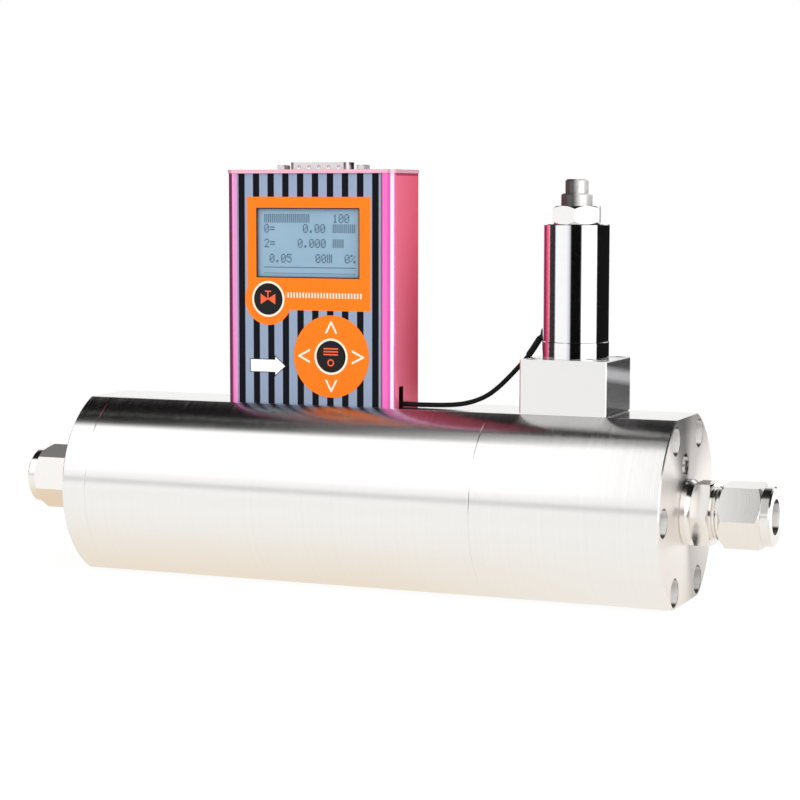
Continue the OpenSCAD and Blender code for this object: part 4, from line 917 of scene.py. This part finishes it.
def neck_thread(name, x_start, forward):
    bm = bmesh.new()
    corners = [
        bm.verts.new(((x_start + forward * a) * MM, 0, (AXIS + r) * MM)) for a, r in THREAD_PROFILE
    ]
    edges = [bm.edges.new((corners[i], corners[(i + 1) % 3])) for i in range(3)]
    bmesh.ops.spin(
        bm,
        geom=corners + edges,
        cent=(0, 0, AXIS * MM),
        axis=(1, 0, 0),
        dvec=(forward * THREAD_PITCH / STEPS_PER_TURN * MM, 0, 0),
        angle=2 * math.pi * THREAD_TURNS,
        steps=STEPS_PER_TURN * THREAD_TURNS,
        use_duplicate=False,
    )
    open_edges = [edge for edge in bm.edges if edge.is_boundary]
    bmesh.ops.holes_fill(bm, edges=open_edges, sides=3)
    make_piece(bm, name, "controller", "fitting_steel")


neck_thread("outlet_neck_thread", nut_low[0] - BEHIND_NUT, 1)
neck_thread("inlet_neck_thread", box_mm("inlet_nut")[1][0] + BEHIND_NUT, -1)

# %% [markdown]
# The two round keys are domed so that a finger finds them. An arc from the centre
# to the rim is spun about the key's axis, and the last step is merged with the
# first. The print continues over the dome, because it is a mask in space.

# %% Domes of the round keys
DOME_RADIUS, DOME_RISE = 6.0, 0.32
ARC_STEPS = 8
DOME_BASE = overlay_low[1] + 0.01


def key_dome(name, key):
    x_mm, z_mm = key[0], key[1] + AXIS
    bm = bmesh.new()
    points = []
    for i in range(ARC_STEPS + 1):
        angle = math.pi / 2 * i / ARC_STEPS
        across, out = DOME_RADIUS * math.sin(angle), DOME_RISE * math.cos(angle)
        points.append(bm.verts.new(((x_mm + across) * MM, (DOME_BASE - out) * MM, z_mm * MM)))
    points.append(bm.verts.new((x_mm * MM, DOME_BASE * MM, z_mm * MM)))
    edges = [bm.edges.new(pair) for pair in zip(points, points[1:])]
    bmesh.ops.spin(
        bm,
        geom=points + edges,
        cent=(x_mm * MM, 0, z_mm * MM),
        axis=(0, 1, 0),
        angle=2 * math.pi,
        steps=64,
        use_merge=True,
        use_duplicate=False,
    )
    make_piece(bm, name, "controller", "overlay_film", smooth=True)


key_dome("valve_key_dome", VALVE_KEY)
key_dome("ok_key_dome", OK_KEY)

# %% [markdown]
# The display shows numbers made of square dots, seven dots high and five wide.
# Each row of a digit is written as a number whose bits are the dots. Neighbouring
# dots are joined into one bar, so the whole display needs few faces.

# %% Dot pattern of the digits
DIGITS = {
    "0": (14, 17, 19, 21, 25, 17, 14),
    "1": (4, 12, 4, 4, 4, 4, 14),
    "2": (14, 17, 1, 2, 4, 8, 31),
    "5": (31, 16, 30, 1, 1, 17, 14),
    ".": (0, 0, 0, 0, 0, 12, 12),
    "=": (0, 0, 31, 0, 31, 0, 0),
    "%": (24, 25, 2, 4, 8, 19, 3),
    "|": (21, 21, 21, 21, 21, 21, 21),
}
BAR_FACE = box_mm("lcd_panel")[0][1] - 0.03
BAR_DEPTH = 0.05
DOT_GAP = 0.02


def add_bar(bm, x0, x1, z0, z1):
    size = Matrix.Diagonal(((x1 - x0) * MM, BAR_DEPTH * MM, (z1 - z0) * MM, 1))
    middle = Matrix.Translation(((x0 + x1) / 2 * MM, BAR_FACE * MM, (z0 + z1) / 2 * MM))
    bmesh.ops.create_cube(bm, size=1, matrix=middle @ size)


def add_digit(bm, sign, left, top):
    for row, bits in enumerate(DIGITS[sign]):
        dots = [bool(bits & (16 >> column)) for column in range(5)] + [False]
        z1 = top - row * CELL_Z
        start = None
        for column, dark in enumerate(dots):
            if dark and start is None:
                start = column
            if not dark and start is not None:
                x0, x1 = left + start * CELL_X, left + column * CELL_X - DOT_GAP
                add_bar(bm, x0, x1, z1 - CELL_Z + DOT_GAP, z1)
                start = None


print("signs that can be shown:", "".join(DIGITS))


# %% [markdown]
# Each reading has the left and upper corner of its first sign. Upright bars stand
# for the name and the units, which a reusable part leaves open. Two thin lines
# below the numbers are the bar graph of the flow.

# %% Readings on the display
READINGS = [
    (-19.2, 139.6, "||||||||"), (9.3, 139.6, "100"),
    (-19.2, 135.8, "0="), (-3.0, 135.8, "0.00"), (9.3, 135.8, "||||"),
    (-19.2, 130.2, "2="), (-5.2, 130.2, "0.000"), (9.3, 130.2, "||"),
    (-17.0, 124.5, "0.05"), (2.2, 124.5, "00|"), (14.2, 124.5, "0%"),
]
BAR_GRAPH = [(-19.4, 18.7, 119.3, 119.6), (-19.4, 18.7, 117.15, 117.3)]
SIGN_STEP = 6 * CELL_X

bm = bmesh.new()
for left, top, text in READINGS:
    for place, sign in enumerate(text):
        add_digit(bm, sign, left + place * SIGN_STEP, top)
for line in BAR_GRAPH:
    add_bar(bm, *line)
make_piece(bm, "display_readings", "controller", "lcd_glass", "lcd_ink")

# %% [markdown]
# The studio is a pale table in a white tent. Its pieces are not part of the
# product, so they are declared as stage.

# %% Round table
TABLE_RADIUS = 0.62


def stage_piece(bm, name):
    mesh = bpy.data.meshes.new(name)
    bm.to_mesh(mesh)
    bm.free()
    piece = bpy.data.objects.new(name, mesh)
    bpy.context.scene.collection.objects.link(piece)
    piece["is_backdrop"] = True
    print(name, "faces:", len(mesh.polygons))
    return piece


bm = bmesh.new()
bmesh.ops.create_circle(bm, cap_ends=True, segments=96, radius=TABLE_RADIUS)
bmesh.ops.translate(bm, verts=bm.verts, vec=(0.02, 0, -0.3 * MM))
floor = stage_piece(bm, "studio_floor")

# %% [markdown]
# To the camera the table is almost white, with a share of matt paint that shows
# the shadow. Polished metal mirrors it at a low angle. To glossy rays the table glows
# with a painted shade: darker and warm close to the part, paler further away and
# towards the outlet, so glossy rays find a soft gradient instead of a flat white.

# %% Finish of the table
FLOOR_PAINTED_SHADE_STOPS = [
    (0, (0.86, 0.72, 0.55, 1)), (28, (0.93, 0.86, 0.76, 1)),
    (55, (0.97, 0.95, 0.92, 1)), (100, (0.99, 0.98, 0.96, 1)),
]

start = new_finish("studio_floor")
x, y, _ = split(millimetres(start))
# Painted shade for glossy rays: the table is darker and warmer close to the part.
floor_painted_shade = mix(above(x, 75, 90) * 0.65, ramp(size_of(y), 0, 100, FLOOR_PAINTED_SHADE_STOPS), (0.97, 0.96, 0.94, 1))
camera_ray = start.node("ShaderNodeLightPath", output="Is Camera Ray")
glossy_ray = start.node("ShaderNodeLightPath", output="Is Glossy Ray")
matt = start.node("ShaderNodeBsdfDiffuse", {}, {"Color": grey(0.85)})
white = start.node("ShaderNodeEmission", {}, {"Color": grey(1), "Strength": 1.06})
mirrored = start.node("ShaderNodeEmission", {}, {"Color": floor_painted_shade, "Strength": 1.0})
seen = start.node("ShaderNodeMixShader", {}, {0: camera_ray * 0.82, 1: matt, 2: white})
table = start.node("ShaderNodeMixShader", {}, {0: glossy_ray, 1: seen, 2: mirrored})
start.node("ShaderNodeOutputMaterial", {}, {"Surface": table})
floor.data.materials.append(FINISHES["studio_floor"])

# %% [markdown]
# A low white card stands behind the outlet end. The camera doesn't see it, and it
# lights nothing: it is there so that the turned end face, its screws and the
# mouth of the fitting have something bright to mirror.

# %% Card behind the outlet end
CARD_PLACE, CARD_TURN = (0.205, 0.2, 0.023), -16
CARD_HALF = (0.09, 0.023, 1, 1)

upright = Matrix.Rotation(math.radians(CARD_TURN), 4, "Z") @ Matrix.Rotation(math.radians(90), 4, "X")
place = Matrix.Translation(CARD_PLACE) @ upright @ Matrix.Diagonal(CARD_HALF)
bm = bmesh.new()
bmesh.ops.create_grid(bm, x_segments=1, y_segments=1, size=1, matrix=place)
card = stage_piece(bm, "white_card")
card.visible_camera = card.visible_diffuse = card.visible_shadow = False
start = new_finish("white_card")
glow = start.node("ShaderNodeEmission", {}, {"Color": (1, 0.98, 0.97, 1), "Strength": 1.5})
start.node("ShaderNodeOutputMaterial", {}, {"Surface": glow})
card.data.materials.append(FINISHES["white_card"])

# %% [markdown]
# The tent is a world whose colour depends on the direction. Three angles in
# degrees describe a direction: the bearing round the part, which is 0 towards the
# camera and grows to the right, the height over the horizon, and the angle over
# the top, which is 0 in front, 90 overhead and 180 behind.

# %% Tent: directions
TO_CAMERA_X, TO_CAMERA_Y = 0.3838, -0.9234

world = bpy.data.worlds.new("studio_tent")
bpy.context.scene.world = world
world.use_nodes = True
world.node_tree.nodes.clear()
start = Field(world.node_tree)
dx, dy, dz = split(start.node("ShaderNodeTexCoord", output="Generated"))
toward = dx * TO_CAMERA_X + dy * TO_CAMERA_Y
right = dx * -TO_CAMERA_Y + dy * TO_CAMERA_X
bearing = right.math("ARCTAN2", toward) * DEGREES
height = dz.math("ARCSINE") * DEGREES
over = dz.math("ARCTAN2", dy * -1) * DEGREES
print("camera bearing from +X:", round(math.atan2(TO_CAMERA_Y, TO_CAMERA_X) * DEGREES, 1))

# %% [markdown]
# Polished metal shows what stands around it. Near the horizon there are soft boxes
# left and right of the camera with a dark gap between them, a dark cloth on the
# far right, and a band on the left behind the part that lends the steel a red
# glow, as a coloured neighbour would.

# %% Tent: the ring near the horizon
AROUND = [
    (-163, grey(0.95)), (-153, (0.27, 0.014, 0.075, 1)), (-125, (0.40, 0.03, 0.125, 1)),
    (-122, grey(0.05)), (-84, grey(0.03)), (-80, grey(1.05)), (-38, grey(1.02)),
    (-26, grey(0.62, 1.08)), (-23, grey(0.004)), (12, grey(0.004)), (15, grey(1.4)),
    (70, grey(1.4)), (73, grey(0.008)), (164, grey(0.01)), (172, grey(0.95)),
]
low = ramp(bearing, -180, 180, AROUND)
print("stops round the horizon:", len(AROUND))

# %% [markdown]
# Above the ring a large soft box leans over the front, with one duller strip
# through it. Overhead hangs a cloth that is nearly black, apart from a strip on the
# inlet side, which fades from front to back. Behind the part the tent is grey first
# and then white.

# %% Tent: the roof
OVERHEAD = [
    (78, grey(1.2)), (84, grey(0.75)), (87, grey(0.55)), (94.2, grey(0.24)),
    (102, grey(0.08)), (109.8, grey(0.07)), (118.2, grey(0.12)), (126, grey(0.2)),
]

front_box = mix(between(dx, -0.242, -0.15, 0.01), grey(1.25), grey(0.42))
upper = mix(between(over, 18, 78, 8), low, front_box)
cloth = mix(above(dx, -0.3575, 0.125), grey(0.012), ramp(over, 75, 135, OVERHEAD))
cloth = mix(above(dx, -0.257, 0.01), cloth, grey(0.012))
upper = mix(between(over, 78, 132, 6), upper, cloth)
upper = mix(above(over, 132, 4), upper, grey(0.19))
upper = mix(above(over, 144, 6), upper, grey(1.0))
print("stops of the cloth:", len(OVERHEAD))

# %% [markdown]
# Ring and roof are joined at the horizon, and the warm table lies below. Only
# glossy rays see all this: to the camera the tent is white, and to the other rays
# it is an even pale grey, so that it fills the shadows softly.

# %% Tent: join the parts
horizon = between(over, 3.2, 8.5, 4) * below(height, 12, 3)
shine = mix(above(height, 14, 8), low, upper)
shine = mix(horizon * 0.45, shine, grey(0.2))
shine = mix(below(height, -14, 8), shine, (0.97, 0.94, 0.90, 1))
camera_ray = start.node("ShaderNodeLightPath", output="Is Camera Ray")
glossy_ray = start.node("ShaderNodeLightPath", output="Is Glossy Ray")
tent = mix(glossy_ray, mix(camera_ray, grey(0.82), grey(1.0)), shine)
light = start.node("ShaderNodeBackground", {}, {"Color": tent, "Strength": 1.0})
start.node("ShaderNodeOutputWorld", {}, {"Surface": light})
world.cycles.sampling_method = "NONE"
print("tent nodes:", len(start.tree.nodes))

# %% [markdown]
# Two soft lamps light the matt parts: one from the upper left, and one from the
# right that lifts the side of the case. They are large, so the shadow on the table
# stays soft, and they are kept out of the reflections.

# %% Lamps
LAMP_TARGET = Vector((0, 0, 0.09))


def soft_lamp(name, place, size, watts):
    data = bpy.data.lights.new(name, "AREA")
    data.shape = "DISK"
    data.size = size
    data.energy = watts
    lamp = bpy.data.objects.new(name, data)
    lamp.location = place
    lamp.rotation_mode = "QUATERNION"
    lamp.rotation_quaternion = (lamp.location - LAMP_TARGET).to_track_quat("Z", "Y")
    lamp.visible_glossy = False
    bpy.context.scene.collection.objects.link(lamp)
    print(name, "watts:", watts)


soft_lamp("key_lamp", (-0.45, -0.8, 0.75), 0.7, 3.5)
soft_lamp("side_lamp", (0.62, -0.12, 0.42), 0.4, 3.7)

# %% [markdown]
# Colours are shown plainly: no film look is laid over them. The size of the part
# is written down twice, as packed and with the fine pieces, because the two should
# agree.

bpy.context.scene.view_settings.view_transform = "Standard"
new_low, new_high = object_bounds()
low_change = [round(v / MM, 3) for v in new_low - cad_low]
high_change = [round(v / MM, 3) for v in new_high - cad_high]
print("size change in mm:", low_change, high_change)
